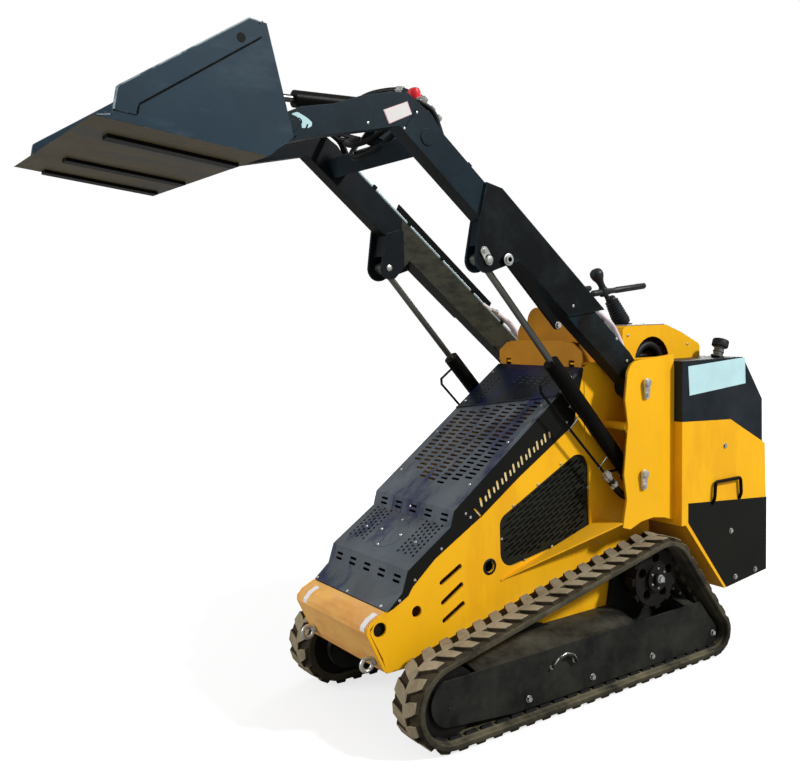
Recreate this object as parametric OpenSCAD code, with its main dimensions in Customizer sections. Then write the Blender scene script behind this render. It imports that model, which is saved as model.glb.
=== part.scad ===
// Stand-on tracked mini loader with a lift boom and bucket.
// Millimetres. X points forward, Y to the loader's left, Z up; the ground is z = 0.
// Lengths along X are given from the middle of the tracks and shifted once, in placed().
// Side views are drawn in the XZ plane as [x, z] points and stood up with plate().

/* [Overall] */
// half of the width over the tracks
half_width = 433; // [415:1:460]
// half of the width over the bucket's side plates
bucket_half = 427; // [400:1:470]
// half of the width of the rear body and its tank
rear_half = 400; // [385:1:415]

/* [Tracks] */
// width of one rubber track
track_w = 150; // [130:1:152]
// thickness of the rubber belt without its lugs
belt_t = 22; // [18:1:26]
// height of a lug above the belt
lug_h = 18; // [12:1:22]
// distance from lug to lug
lug_pitch = 72; // [66:1:80]
// height of the front idler's centre above the ground
idler_z = 157; // [150:1:162]
// x of the front idler's centre
idler_x = 633; // [600:1:660]
// height of the drive sprocket's centre
sprocket_z = 370; // [350:1:380]
// x of the drive sprocket's centre
sprocket_x = -368; // [-380:1:-350]

/* [Boom] */
// x and z of the boom's pivot pin
pivot_x = -322; // [-326:1:-316]
// height of the boom's pivot pin
pivot_z = 1101; // [1095:1:1108]
// slope of the main beams in degrees
beam_slope = 40.4; // [40:0.1:41]
// height of a beam's section
beam_h = 100; // [90:1:108]
// thickness of the boom's side plates
plate_t = 10; // [8:1:12]
// radius of the boom's pivot pin
pivot_r = 20; // [16:1:22]

/* [Cylinders] */
// radius of a lift cylinder's barrel
lift_barrel_r = 29; // [26:0.5:29]
// radius of a lift cylinder's rod
lift_rod_r = 12; // [10:0.5:16]
// radius of the tilt cylinder's barrel
tilt_barrel_r = 27; // [24:0.5:30]
// radius of the tilt cylinder's rod
tilt_rod_r = 12; // [10:0.5:15]
// radius of the pins at the cylinders' ends
cyl_pin_r = 12; // [10:0.5:14]

/* [Sheet metal] */
// thickness of the frame's and tower's plates
frame_t = 8; // [6:1:10]
// thickness of the hood, the rear panels and other covers
cover_t = 3; // [2.5:0.5:4]
// thickness of the bucket's floor and back
bucket_t = 8; // [6:1:10]

/* [Hidden] */
$fn = 48;
run = 0.05;                    // radial clearance of a running fit
eps = 0.4;                     // gap between curved faces of neighbouring parts
side_y = 240;                  // outer face of the frame's side plates
tower_y = 360;                 // outer face of the outer tower plates
arm_in = 252;                  // inner face of a boom arm
arm_out = 332;                 // outer face of a boom arm
arm_mid = (arm_in + arm_out) / 2;
track_in = half_width - track_w;
tread = belt_t + lug_h;

// boom geometry, all at rest
slope = tan(beam_slope);
beam_low = 1336;               // height of the beam's lower edge at x = 0
beam_top = beam_low + beam_h / cos(beam_slope);
elbow_low = [722, 1951];
hitch_pin = [1085, 1915];
tilt_eye = [1100, 2069];
tilt_base = [520, 2080];
lift_base = [-308, 761];
lift_eye = [400, 1563];

// bucket side outline at rest
lip = [1651, 1868];
heel = [1207, 1808];
platform_hinge = [-1046, 250];
rear_end = platform_hinge[0] - 22;
front_end = lip[0];
origin_x = (front_end + rear_end) / 2;

yellow = [0.93, 0.62, 0.06];
dark = [0.10, 0.12, 0.15];
black = [0.05, 0.05, 0.06];
steel = [0.70, 0.72, 0.74];
rubber = [0.14, 0.13, 0.12];

// ---------------------------------------------------------------- helpers

// every part passes through here once, which puts the loader's middle on the origin
module placed(c) { color(c) translate([-origin_x, 0, 0]) children(); }

// a plate drawn in side view, from y0 to y1
module plate(y0, y1) {
    translate([0, y1, 0]) rotate([90, 0, 0]) linear_extrude(y1 - y0) children();
}

// the same child on both sides of the loader
module both() { children(); mirror([0, 1, 0]) children(); }

// a round bar across the loader at a side-view point
module cross_bar(p, r, y0, y1) {
    translate([p[0], y1, p[1]]) rotate([90, 0, 0]) cylinder(r = r, h = y1 - y0);
}

// a round bar between two points
module bar(a, b, r) {
    d = b - a;
    l = norm(d);
    translate(a) rotate([0, acos(d[2] / l), atan2(d[1], d[0])]) cylinder(r = r, h = l);
}

// a tube along a list of points, drawn with eight sides and square corners
module tube(p, r) {
    n = len(p);
    d = [for (i = [0 : n - 2]) (p[i + 1] - p[i]) / norm(p[i + 1] - p[i])];
    over = concat([0], [for (i = [1 : n - 2]) r * tan(acos(d[i - 1] * d[i]) / 2)], [0]);
    for (i = [0 : n - 2]) bar(p[i] - d[i] * over[i], p[i + 1] + d[i] * over[i + 1], r, $fn = 8);
}

// points on an arc of radius r about c, from angle a to angle b
function arc(c, r, a, b, n = 8) = [for (i = [0 : n]) let (t = a + (b - a) * i / n)
    [c[0] + r * cos(t), c[1] + r * sin(t)]];

// a point at a distance along a direction
function polar(p, a, r) = [p[0] + r * cos(a), p[1] + r * sin(a)];

// angle and length from one side-view point to another
function heading(a, b) = atan2(b[1] - a[1], b[0] - a[0]);
function dist(a, b) = norm(b - a);

// a round washer-like bolt head on a side face
module side_bolt(p, y, r = 8, h = 6) {
    translate([p[0], y, p[1]]) rotate([-90, 0, 0]) cylinder(r = r, h = h, $fn = 24);
}

// ---------------------------------------------------------------- tracks

rear_idler = [-669, 95];
idler = [idler_x, idler_z];
sprocket = [sprocket_x, sprocket_z];
idler_r = idler_z - tread;
rear_idler_r = rear_idler[1] - tread;
sprocket_r = 125;

// tangent heading of a belt that leaves circle a and runs to circle b, both turning the same way
function tangent(a, ra, b, rb) = heading(a, b) - asin((ra - rb) / dist(a, b));

// angles of the outward normals of the three straight runs
top_n = tangent(sprocket, sprocket_r, idler, idler_r) + 90;
bottom_n = -90;
rear_n = tangent(rear_idler, rear_idler_r, sprocket, sprocket_r) + 90;

// closed outline of the belt at a distance d outside the wheels
function belt_outline(d) = concat(
    arc(idler, idler_r + d, top_n, bottom_n, 18),
    arc(rear_idler, rear_idler_r + d, -90, rear_n - 360, 12),
    arc(sprocket, sprocket_r + d, rear_n, top_n, 14));

function loop_length(p) = let (n = len(p))
    [for (i = 0, s = 0; i < n; s = s + dist(p[i], p[(i + 1) % n]), i = i + 1) s + dist(p[i], p[(i + 1) % n])][n - 1];

// point and heading at distance s along a closed outline
function along(p, s, i = 0) = let (n = len(p), a = p[i % n], b = p[(i + 1) % n], l = dist(a, b))
    s <= l ? [a + (b - a) * s / l, heading(a, b)] : along(p, s - l, i + 1);

// outline of the belt with its lugs, one after the other along the belt's outer face
function lug_outline() = let (root = belt_outline(belt_t), total = loop_length(root),
    count = round(total / lug_pitch), pitch = total / count)
    [for (i = [0 : count - 1], k = [[-21, 0], [-15, lug_h], [15, lug_h], [21, 0]])
        let (q = along(root, (i + 0.5) * pitch + k[0])) polar(q[0], q[1] + 90, k[1])];

module track_loop() {
    plate(track_in, half_width) difference() {
        polygon(lug_outline());
        polygon(belt_outline(0));
    }
}

module track_frame() {
    cover_y = half_width - 30;
    // cover plate outside the rollers
    plate(cover_y - 8, cover_y) polygon(track_cover());
    // sloping top from the cover to the loader's side, open under the sprocket
    for (x = [[-560, -508], [-228, 530]])
        rotate([90, 0, 90]) translate([0, 0, x[0]]) linear_extrude(x[1] - x[0])
            polygon([[cover_y - 8, 236], [cover_y, 236], [cover_y, 230], [cover_y - 90, 250], [side_y, 250],
                     [side_y, 258], [cover_y - 90, 258]]);
    // inner plate against the loader's side, carried up around the drive motor
    plate(side_y, side_y + 20) union() {
        polygon(concat(track_cover(), [[-560, 258], [530, 258]]));
        polygon(concat(arc(sprocket, 112, 150, 20, 10), [[-228, 240], [-590, 236]]));
    }
    // bolts
    for (p = [[309, 85], [6, 85], [-309, 85]]) side_bolt(p, cover_y, 9, 8);
    side_bolt(rear_idler, cover_y, 9, 8);
    side_bolt([642, 141], cover_y, 4, 3);
    // grab
    tube([[205, cover_y - 2, 170], [205, cover_y + 16, 176], [180, cover_y + 20, 200], [150, cover_y + 20, 208],
          [120, cover_y + 20, 198], [98, cover_y + 16, 172], [98, cover_y - 2, 168]], 5);
}

// cover plate outline: rounded in front, cut off at the rear
function track_cover() = concat(arc([633, 160], 80, 70, -75, 10),
    [[372, 52], [-655, 48], [-680, 70], [-690, 115], [-590, 236]]);

module sprocket_part() {
    y0 = track_in + 45;
    y1 = half_width - 55;
    difference() {
        union() {
            cross_bar(sprocket, sprocket_r - 14, y0, y1 - 10);
            for (i = [0 : 10]) translate([sprocket[0], y1 - 12, sprocket[1]]) rotate([90, i * 360 / 11, 0])
                translate([sprocket_r - 22, -14, 0]) cube([21, 28, y1 - 12 - y0]);
            cross_bar(sprocket, 52, y1 - 12, y1 + 4);
            cross_bar(sprocket, 26, y1, y1 + 16);
        }
        for (i = [0 : 4]) cross_bar(polar(sprocket, i * 72 + 20, 76), 20, y0 - 1, y1 + 1);
    }
    // motor housing reaching in to the frame
    cross_bar(sprocket, 75, side_y + 20, y0);
}

module rollers() {
    y0 = track_in + 8;
    y1 = half_width - 38;      // inner face of the cover plate
    for (w = [[[309, 86], 45, 16], [[6, 86], 45, 16], [[-309, 86], 45, 16],
              [idler, idler_r - eps, 18], [rear_idler, rear_idler_r - eps, 18]]) {
        cross_bar(w[0], w[1], y0 + 6, y0 + 46);
        cross_bar(w[0], w[1], y1 - 46, y1 - 4);
        cross_bar(w[0], w[2], side_y + 20, y1);
    }
}

// ---------------------------------------------------------------- frame, tower, hood

// stepped line of the hood's side edge, from the bumper up to the tower
hood_line = [[762, 441], [703, 492], [680, 560], [503, 678], [488, 730], [458, 752], [-118, 1176]];
// lower edge of the hood's side flanges
flange_line = [[-66, 973], [203, 809], [363, 701], [573, 581], [664, 504], [681, 479], [737, 449]];

// side plate, cut for the grille
module side_plate() {
    difference() {
        plate(side_y - frame_t, side_y) difference() {
            polygon(concat([[770, 239], [783, 290], [830, 386], [812, 412]], hood_line,
                [[-150, 1195], [-478, 1195], [-478, 300], [-420, 239]]));
            polygon(grille_outline(0));
            for (h = [[[792, 389], 24], [[648, 419], 19], [[340, 514], 20]]) translate(h[0]) circle(r = h[1]);
            for (s = [[[544, 496], [468, 537]], [[540, 427], [463, 473]], [[536, 364], [458, 406]]])
                slot2(s[0], s[1], 9);
        }
        cross_bar([pivot_x, pivot_z], pivot_r + eps, side_y - 30, side_y + 5);
        cross_bar(lift_base, cyl_pin_r + eps, side_y - 30, side_y + 5);
    }
}

// a slot with round ends, from a to b
module slot2(a, b, r) {
    t = heading(a, b);
    polygon(concat(arc(a, r, t + 90, t + 270, 12), arc(b, r, t - 90, t + 90, 12)));
}

// grille opening, with rounded corners, grown by g
function grille_outline(g) = concat(
    arc([-85, 800], 60 + g, 180, 60, 8), arc([248, 648], 42 + g, 60, 0, 5),
    arc([235, 552], 54 + g, 0, -100, 8), arc([-106, 596], 42 + g, -100, -180, 6));

module frame_part() {
    both() side_plate();
    // belly, cross wall and top plate, folded from one sheet
    w = side_y - frame_t;
    plate(-w, w) polygon([[765, 239], [765, 245], [-417, 245], [-472, 303], [-472, 1189], [-124, 1189],
                          [-124, 1195], [-478, 1195], [-478, 300], [-420, 239]]);
}

// bent plate between the noses of the side plates
module bumper() {
    w = side_y - frame_t;
    plate(-w, w) polygon([[767, 434], [812, 412], [828, 398], [830, 384], [776, 262], [770, 245],
                          [778, 245], [784, 258], [840, 382], [838, 400], [818, 420], [769, 443]]);
}

// triangular fender ledges over the tracks
module fenders() {
    both() {
        translate([0, 0, 0]) linear_extrude_wedge();
    }
}
module linear_extrude_wedge() {
    // a bent sheet: thin triangle in plan, rising to the rear
    multmatrix([[1, 0, 0, 0], [0, 1, 0, 0], [-0.30, 0, 1, 540], [0, 0, 0, 1]])
        linear_extrude(5) polygon([[292, side_y], [-200, side_y], [-200, tower_y - 1]]);
}

tower_outline = concat([[-200, 587], [-221, 689], [-206, 785], [-227, 968], [-212, 1061]],
    arc([-286, 1140], 62, 5, 80, 6), [[-481, 1217], [-481, 575], [-430, 592], [-367, 602], [-300, 596], [-240, 575]]);

module tower() {
    both() {
        difference() {
            plate(tower_y - plate_t, tower_y) polygon(tower_outline);
            cross_bar([pivot_x, pivot_z], pivot_r + eps, tower_y - 30, tower_y + 5);
            cross_bar(lift_base, cyl_pin_r + eps, tower_y - 30, tower_y + 5);
        }
        // rear wall of the pocket and the spacer tube
        plate(side_y, tower_y - plate_t) polygon([[-481, 600], [-473, 600], [-473, 1195], [-481, 1195]]);
        cross_bar([-236, 958], 17, side_y, tower_y - plate_t);
    }
}

module tower_front() {
    w = side_y - frame_t;
    box_w = 175;
    top_z = 1346;
    // lower front plate with chamfered top corners and two square notches
    difference() {
        translate([-124, 0, 0]) rotate([90, 0, 90]) linear_extrude(6)
            polygon([[-w, 1150], [w, 1150], [w, 1196], [w + 6, 1196], [w + 4, 1236], [190, 1268], [115, 1277],
                     [-115, 1277], [-190, 1268], [-w - 4, 1236], [-w - 6, 1196], [-w, 1196]]);
        for (y = [-195, 165]) translate([-130, y, 1140]) cube([20, 30, 64]);
    }
    // deck behind it and the upper plate with two round lugs
    translate([-166, -box_w, 1268]) cube([43, 2 * box_w, 5]);
    translate([-171, 0, 0]) rotate([90, 0, 90]) linear_extrude(6) union() {
        polygon([[-box_w, 1195], [box_w, 1195], [box_w, 1311], [154, 1341], [120, top_z], [-120, top_z],
                 [-154, 1341], [-box_w, 1311]]);
        for (y = [-60, 60]) translate([y, top_z + 1]) circle(r = 57);
    }
    // box between the upper plate and the console
    translate([-322, -box_w, 1290]) cube([152, 2 * box_w, 5]);
    for (y = [-box_w, box_w - 5]) translate([-322, y, 1195]) cube([152, 5, 96]);
}

module hood() {
    // top sheet following the stepped line, lying on the side plates' edges
    n = len(hood_line);
    upper = [for (i = [n - 1 : -1 : 0]) hood_line[i] + [2, cover_t]];
    plate(-side_y - 2, side_y + 2) polygon(concat(hood_line, upper));
    // side flanges, outside the side plates
    both() plate(side_y, side_y + 2) polygon(concat(hood_line, flange_line));
}

module grille() {
    plate(side_y - frame_t - 3, side_y - frame_t) polygon(grille_outline(12));
}

// ---------------------------------------------------------------- rear body

shoulder = [[-481, 959], [-776, 945], [-985, 837]];
rear_outline = concat(shoulder, [[-1004, 827], [-1016, 600], [-1022, 292], [-757, 263], [-745, 262], [-505, 556], [-481, 556]]);

module rear_body() {
    both() difference() {
        plate(232, 240) polygon([[-1019, 330], [-1021, 292], [-1000, 289], [-1000, 262], [-1020, 235], [-1062, 235],
                                 [-1062, 265]]);
        cross_bar(platform_hinge, 9 + run, 220, 250);
    }
    difference() {
        plate(-rear_half, rear_half) polygon(rear_outline);
        plate(-rear_half + cover_t, rear_half - cover_t) offset(delta = -cover_t) polygon(rear_outline);
        // open in front, to the frame
        plate(-side_y + frame_t, side_y - frame_t) polygon([[-520, 600], [-470, 600], [-470, 940], [-520, 940]]);
    }
}

tank_outline = concat([for (p = shoulder) p + [0, 0.3]], [[-980, 1013], [-851, 1190], [-481, 1190]]);

module tank() {
    difference() {
        plate(-rear_half, rear_half) polygon(tank_outline);
        plate(-rear_half + cover_t, rear_half - cover_t) offset(delta = -cover_t) polygon(tank_outline);
        // bay for the console
        translate([-782, -side_y - 8, 940]) cube([400, 2 * side_y + 16, 300]);
    }
}

module filler_cap() {
    translate([-780, 330, 1190]) {
        cylinder(r = 24, h = 12);
        translate([0, 0, 10]) rotate([0, -20, 0]) {
            cylinder(r = 17, h = 40);
            translate([0, 0, 36]) cylinder(r = 32, h = 28);
        }
    }
}

black_outline = [[-520, 640], [-1018, 599], [-1022, 292], [-759, 264], [-520, 565]];

module rear_panel() {
    plate(rear_half, rear_half + 2) polygon(black_outline);
    for (p = [[-782, 492], [-813, 297], [-945, 304]]) side_bolt(p, rear_half + 2, 8, 5);
    side_bolt([-742, 842], rear_half, 8, 5);
}

module handle() {
    y = rear_half;
    tube([[-664, y, 647], [-664, y + 24, 647], [-664, y + 24, 704], [-823, y + 24, 691], [-833, y + 24, 629],
          [-833, y, 629]], 6.5);
}

console_outline = [[-323, 1195.3], [-323, 1310], [-330, 1320], [-347, 1326], [-572, 1326], [-659, 1296],
                   [-770, 1246], [-778, 1234], [-778, 960], [-486, 960], [-486, 1195.3]];
console_w = 245;

module console() {
    difference() {
        plate(-console_w, console_w) polygon(console_outline);
        plate(-console_w + cover_t, console_w - cover_t) offset(delta = -cover_t) polygon(console_outline);
        // arched openings in both sides
        plate(-console_w - 5, console_w + 5) polygon(concat([[-582, 1202], [-393, 1202]],
            arc([-490, 1182], 100, 20, 160, 10)));
    }
}

module console_top() {
    translate([-566, -156, 1326]) cube([216, 312, 4]);
}

module controls() {
    both() translate([0, 150, 0]) {
        translate([-424, 0, 1330]) cylinder(r = 32, h = 18);
        bar([-424, 0, 1346], [-350, 0, 1412], 22);
        bar([-424, 0, 1346], [-300, 0, 1500], 8);
        bar([-318, 0, 1478], [-290, 0, 1515], 15);
        translate([-286, 0, 1520]) sphere(r = 23);
        bar([-262, 0, 1452], [-552, 0, 1481], 11);
    }
}

module engine() {
    translate([-400, -180, 245]) cube([460, 360, 440]);
}

module tow_eyes() {
    both() translate([820, 200, 269]) {
        rotate([90, 0, 0]) rotate_extrude() translate([21, 0]) circle(r = 7, $fn = 24);
    }
}

module base_pins() {
    both() {
        for (p = [[[pivot_x, pivot_z], pivot_r], [lift_base, cyl_pin_r]]) {
            cross_bar(p[0], p[1], side_y - 20, tower_y + 4);
            cross_bar(p[0], p[1] + 10, side_y - 24, side_y - frame_t - eps);
            // slotted keeper
            translate([p[0][0], 0, p[0][1] - 8]) plate(tower_y + eps, tower_y + 8) slot2([0, -22], [0, 22], 15);
        }
    }
}

// folded up against the rear, with its hinge below
module platform() {
    x = platform_hinge[0];
    translate([x - 22, -220, 262]) cube([6, 440, 330]);
    for (y = [-220, 214]) translate([x - 16, y, 262]) cube([24, 6, 330]);
    for (y = [-205, 165]) translate([x - 16, y, 240]) cube([10, 40, 60]);
    cross_bar(platform_hinge, 9, -244, 244);
}

// ---------------------------------------------------------------- boom

function low(x) = [x, beam_low + slope * x];
function top(x) = [x, beam_top + slope * x];

// main beam and gooseneck in side view
beam_outline = concat(
    arc([pivot_x, pivot_z], 50, 130, 300, 8),
    [low(-270), elbow_low, [1000, 1896]],
    arc(hitch_pin, 40, -100, 80, 6),
    [[1049, 1973], [946, 1992], [849, 2026], [752, 2048], [690, 2052], [600, 1995], top(560), top(-280)]);

// side plate that doubles the beam in the middle, with the ear for the lift cylinder
double_outline = concat(
    [polar(top(-118), beam_slope + 90, 30), polar(top(352), beam_slope + 90, 30), top(398), low(428) - [0, 4]],
    arc(lift_eye, 47, 15, -125, 8), [low(262), low(40)]);
// inner ear for the lift cylinder
ear_outline = concat([[341, 1706], [406, 1690]], arc(lift_eye - [7, 3], 40, 12, -125, 8), [[266, 1630], [266, 1660]]);

module arm() {
    difference() {
        union() {
            plate(arm_in + plate_t, arm_out - plate_t) polygon(beam_outline);
            plate(arm_in, arm_in + plate_t) polygon(ear_outline);
            plate(arm_out - plate_t, arm_out) polygon(double_outline);
            cross_bar([pivot_x, pivot_z], 42, side_y + 3, tower_y - plate_t - 3);
            cross_bar([619, 1928], 26, arm_out - plate_t, arm_out - plate_t + 3);
            // front wall of the ears, above the rod's eye
            plate(arm_in + plate_t, arm_out - plate_t) polygon([[396, 1700], [405, 1690], [421, 1606], [413, 1606]]);
        }
        cross_bar([pivot_x, pivot_z], pivot_r + run, side_y, tower_y);
        cross_bar(lift_eye, cyl_pin_r + eps, arm_in - 5, arm_out + 5);
        cross_bar(hitch_pin, 16 + run, arm_in - 5, arm_out + 5);
        // room for the rod's eye under the beam
        plate(arm_in + plate_t, arm_out - plate_t) translate(lift_eye) circle(r = 44);
    }
    // stubs of the lift cylinder's pin, ending at the plates
    for (y = [[arm_in, arm_in + plate_t], [arm_out - plate_t, arm_out + 6]])
        cross_bar(lift_eye, cyl_pin_r + eps + 1, y[0], y[1]);
}

module cross_tube() {
    w = arm_in + plate_t;
    difference() {
        translate([602, 0, 1922]) rotate([0, 22.6, 0]) cube([65, 2 * w, 65], center = true);
        translate([602, 0, 1922]) rotate([0, 22.6, 0]) cube([53, 2 * w + 2, 53], center = true);
    }
    // bracket and pin of the tilt cylinder
    for (y = [-48, 36]) difference() {
        plate(y, y + 12) polygon(concat(arc(tilt_base, 34, 80, 215, 6), [[560, 1950], [600, 1962], [640, 1975]]));
        cross_bar(tilt_base, cyl_pin_r + eps, -60, 60);
    }
    cross_bar(tilt_base, cyl_pin_r, -50, 50);
    for (y = [-52, 36]) cross_bar(tilt_base, cyl_pin_r + 4, y, y + 16);
}

// guard plate for the hoses, on the outside of the right arm
module hose_guard() {
    y = -arm_out - 0.3;
    plate(y - 6, y) polygon([for (c = [[-120, 8], [-110, 72], [340, 72], [330, 8]])
        polar(top(c[0]), beam_slope + 90, c[1])]);
}

module lock_bar() {
    translate([0, 0, 0]) plate(arm_out + eps, arm_out + 12) slot2([322, 1560], [104, 1340], 14);
    for (p = [[322, 1560], [104, 1340]]) side_bolt(p, arm_out + 12, 9, 8);
}

// pairs of hoses lying on the beams
module boom_hoses() {
    r = 7;
    for (s = [-1, 1], y = [274, 292])
        bar([-265, s * y, top(-265)[1] + (r + eps) / cos(beam_slope)],
            [540, s * y, top(540)[1] + (r + eps) / cos(beam_slope)], r);
}

// quick couplers beside the left elbow, under a dust cap
module couplers() {
    bar([598, 244, 2012], [610, 240, 2066], 12);
    bar([610, 240, 2062], [620, 238, 2100], 22);
    translate([586, 232, 1990]) cube([24, 29.7, 30]);
}

// ---------------------------------------------------------------- cylinders

// barrel of a cylinder that lies along +X from its base eye
module barrel(length, r, eye_w, pin_r) {
    difference() {
        union() {
            translate([30, 0, 0]) rotate([0, 90, 0]) cylinder(r = r, h = length - 30);
            translate([0, eye_w / 2, 0]) rotate([90, 0, 0]) cylinder(r = pin_r + 14, h = eye_w);
            translate([0, -eye_w / 2, -18]) cube([40, eye_w, 36]);
        }
        translate([0, 60, 0]) rotate([90, 0, 0]) cylinder(r = pin_r + run, h = 120);
        translate([60, 0, 0]) rotate([0, 90, 0]) cylinder(r = r - 6, h = length);
    }
    // gland
    translate([length - 20, 0, 0]) rotate([0, 90, 0]) difference() {
        cylinder(r = r, h = 20);
        translate([0, 0, -1]) cylinder(r = (r < 28 ? tilt_rod_r : lift_rod_r) + run, h = 22);
    }
}

// rod that reaches back inside the barrel from its eye
module rod(length, inside, r, eye_w, pin_r, bore) {
    difference() {
        union() {
            translate([-length - inside, 0, 0]) rotate([0, 90, 0]) cylinder(r = r, h = length + inside - 8);
            translate([0, eye_w / 2, 0]) rotate([90, 0, 0]) cylinder(r = pin_r + 13, h = eye_w);
        }
        if (bore) translate([0, 60, 0]) rotate([90, 0, 0]) cylinder(r = pin_r + run, h = 120);
    }
}

lift_len = dist(lift_base, lift_eye);
lift_angle = heading(lift_base, lift_eye);
tilt_len = dist(tilt_base, tilt_eye);
tilt_angle = heading(tilt_base, tilt_eye);

module aim(p, a, y = 0) { translate([p[0], y, p[1]]) rotate([0, -a, 0]) children(); }

module lift_barrel() {
    aim(lift_base, lift_angle, arm_mid) {
        barrel(602, lift_barrel_r, 44, cyl_pin_r);
        // hard pipes along the barrel
        tube([[566, 0, -24], [573, 0, -92], [556, 0, -105], [110, 0, -84], [62, 0, -24]], 5);
    }
}
module lift_rod() {
    aim(lift_eye, lift_angle, arm_mid) rod(lift_len - 602, 60, lift_rod_r, 44, cyl_pin_r, false);
}

// ---------------------------------------------------------------- hitch and bucket

bucket_back_low = [1131, 1863];
bucket_back_top = [1197, 2145];

back_u = (bucket_back_top - bucket_back_low) / norm(bucket_back_top - bucket_back_low);
back_n = [-back_u[1], back_u[0]];

// a point at height u along the bucket's back and n behind it
function back(u, n) = bucket_back_low + back_u * u + back_n * n;

module hitch() {
    difference() {
        plate(-300, 300) polygon([back(10, 0.3), back(262, 0.3), back(262, 12), back(10, 12)]);
        // notch for the rod's eye
        plate(-29, 29) polygon([back(165, -1), back(300, -1), back(300, 20), back(165, 20)]);
    }
    // lower ears beside each gooseneck, and their pins
    both() {
        for (y = [arm_in - 3, arm_out - plate_t + 1]) difference() {
            plate(y, y + 9) polygon(concat(arc(hitch_pin, 30, 90, 270, 6), [back(12, 6), back(90, 6)]));
            cross_bar(hitch_pin, 16 + eps, arm_in - 20, arm_out + 20);
        }
        cross_bar(hitch_pin, 16, arm_in - 6, arm_out + 2);
    }
    // upper ears for the tilt cylinder's rod, with the ends of its pin
    for (y = [-42, 30]) difference() {
        plate(y, y + 12) polygon(concat(arc(tilt_eye, 26, 90, 270, 6), [back(180, 6), back(250, 6)]));
        cross_bar(tilt_eye, cyl_pin_r + eps, -60, 60);
    }
    both() cross_bar(tilt_eye, cyl_pin_r + eps + 1, 30, 46);
}

side_outline = [[1606, 1872], [1591, 1940], [1246, 2151], [1197, 2145], [1131, 1863], heel, lip];

module bucket() {
    b = bucket_half;
    plate(-b + 8, b - 8) polygon([lip, heel, bucket_back_low, bucket_back_top, [1205, 2152], [1212, 2143],
                                  [1141, 1869], [1211, 1818], [1640, 1876]]);
    both() {
        plate(b - 8, b) polygon(side_outline);
        // strip along the side plate's front edge
        plate(b, b + 3) polygon([[1603, 1885], [1591, 1940], [1246, 2151], [1222, 2148], [1213, 2108], [1541, 1903],
                                 [1547, 1878]]);
    }
    // wear strips under the floor
    for (y = [-392, -142, 256]) plate(y - 22, y + 22)
        polygon([[1226, 1812.5], [1572, 1859.2], [1573, 1849.2], [1227, 1802.5]]);
}

// ---------------------------------------------------------------- parts

placed(yellow) frame_part();  // frame
placed(yellow) bumper();
placed(yellow) fenders();
placed(yellow) tower();
placed(yellow) tower_front();
placed(dark) hood();
placed(black) grille();  // grille_left
placed(black) mirror([0, 1, 0]) grille();  // grille_right
placed(yellow) rear_body();
placed(dark) tank();
placed(black) filler_cap();
placed(dark) rear_panel();  // rear_panel_left
placed(dark) mirror([0, 1, 0]) rear_panel();  // rear_panel_right
placed(black) handle();  // handle_left
placed(black) mirror([0, 1, 0]) handle();  // handle_right
placed(yellow) console();
placed(steel) console_top();
placed(black) controls();
placed(steel) engine();
placed(steel) tow_eyes();
placed(rubber) track_loop();  // track_left
placed(rubber) mirror([0, 1, 0]) track_loop();  // track_right
placed(dark) track_frame();  // track_frame_left
placed(dark) mirror([0, 1, 0]) track_frame();  // track_frame_right
placed(black) sprocket_part();  // sprocket_left
placed(black) mirror([0, 1, 0]) sprocket_part();  // sprocket_right
placed(black) rollers();  // rollers_left
placed(black) mirror([0, 1, 0]) rollers();  // rollers_right
placed(steel) base_pins();
placed(black) platform();
placed(dark) arm();  // arm_left
placed(dark) mirror([0, 1, 0]) arm();  // arm_right
placed(dark) cross_tube();
placed(black) lock_bar();
placed(black) hose_guard();
placed(black) boom_hoses();
placed(steel) couplers();
placed(black) lift_barrel();  // lift_barrel_left
placed(black) mirror([0, 1, 0]) lift_barrel();  // lift_barrel_right
placed(steel) lift_rod();  // lift_rod_left
placed(steel) mirror([0, 1, 0]) lift_rod();  // lift_rod_right
placed(black) aim(tilt_base, tilt_angle) barrel(385, tilt_barrel_r, 66, cyl_pin_r);  // tilt_barrel
placed(steel) aim(tilt_eye, tilt_angle) rod(tilt_len - 385, 170, tilt_rod_r, 48, cyl_pin_r, false);  // tilt_rod
placed(dark) hitch();
placed(dark) bucket();
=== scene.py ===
import math

import bmesh
import bpy
from mathutils import Matrix, Vector
from mathutils.geometry import delaunay_2d_cdt


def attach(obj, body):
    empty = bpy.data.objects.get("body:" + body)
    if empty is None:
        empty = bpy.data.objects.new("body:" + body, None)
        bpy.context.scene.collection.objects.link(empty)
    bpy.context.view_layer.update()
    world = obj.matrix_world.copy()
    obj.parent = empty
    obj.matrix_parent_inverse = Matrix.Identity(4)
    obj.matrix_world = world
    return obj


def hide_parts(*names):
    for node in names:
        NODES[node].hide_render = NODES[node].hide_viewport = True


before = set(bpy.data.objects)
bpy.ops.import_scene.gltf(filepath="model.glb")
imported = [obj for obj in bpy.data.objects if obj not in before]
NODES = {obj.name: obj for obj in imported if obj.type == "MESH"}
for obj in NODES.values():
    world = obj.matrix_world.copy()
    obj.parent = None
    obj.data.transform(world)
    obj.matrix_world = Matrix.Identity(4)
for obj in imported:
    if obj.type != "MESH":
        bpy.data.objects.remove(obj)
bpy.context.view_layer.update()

SCENE = bpy.context.scene

# the drawing's millimetres: x forward from the middle of the tracks, y to the left, z up from the ground
ORIGIN_X = 291.5                # the row frame's origin
SIDE_Y = 240                    # outer face of the frame's side plates
REAR_Y = 400                    # outer face of the tank and the rear body
COVER_Y = 403                   # outer face of the track frame's cover plate
ARM_Y = 322                     # outer face of the boom arms
DOUBLER_Y = 332                 # outer face of the doubler plates
BUCKET_Y = 430                  # outer face of the bucket's side plates
LIFT_Y = 292                    # middle of the lift cylinders
BEAM_TURN = 40.4                # slope of the boom's beams, in degrees
SIDES = (1, -1)                 # left and right
LEFT, UP = (0, 1, 0), (0, 0, 1)


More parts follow.
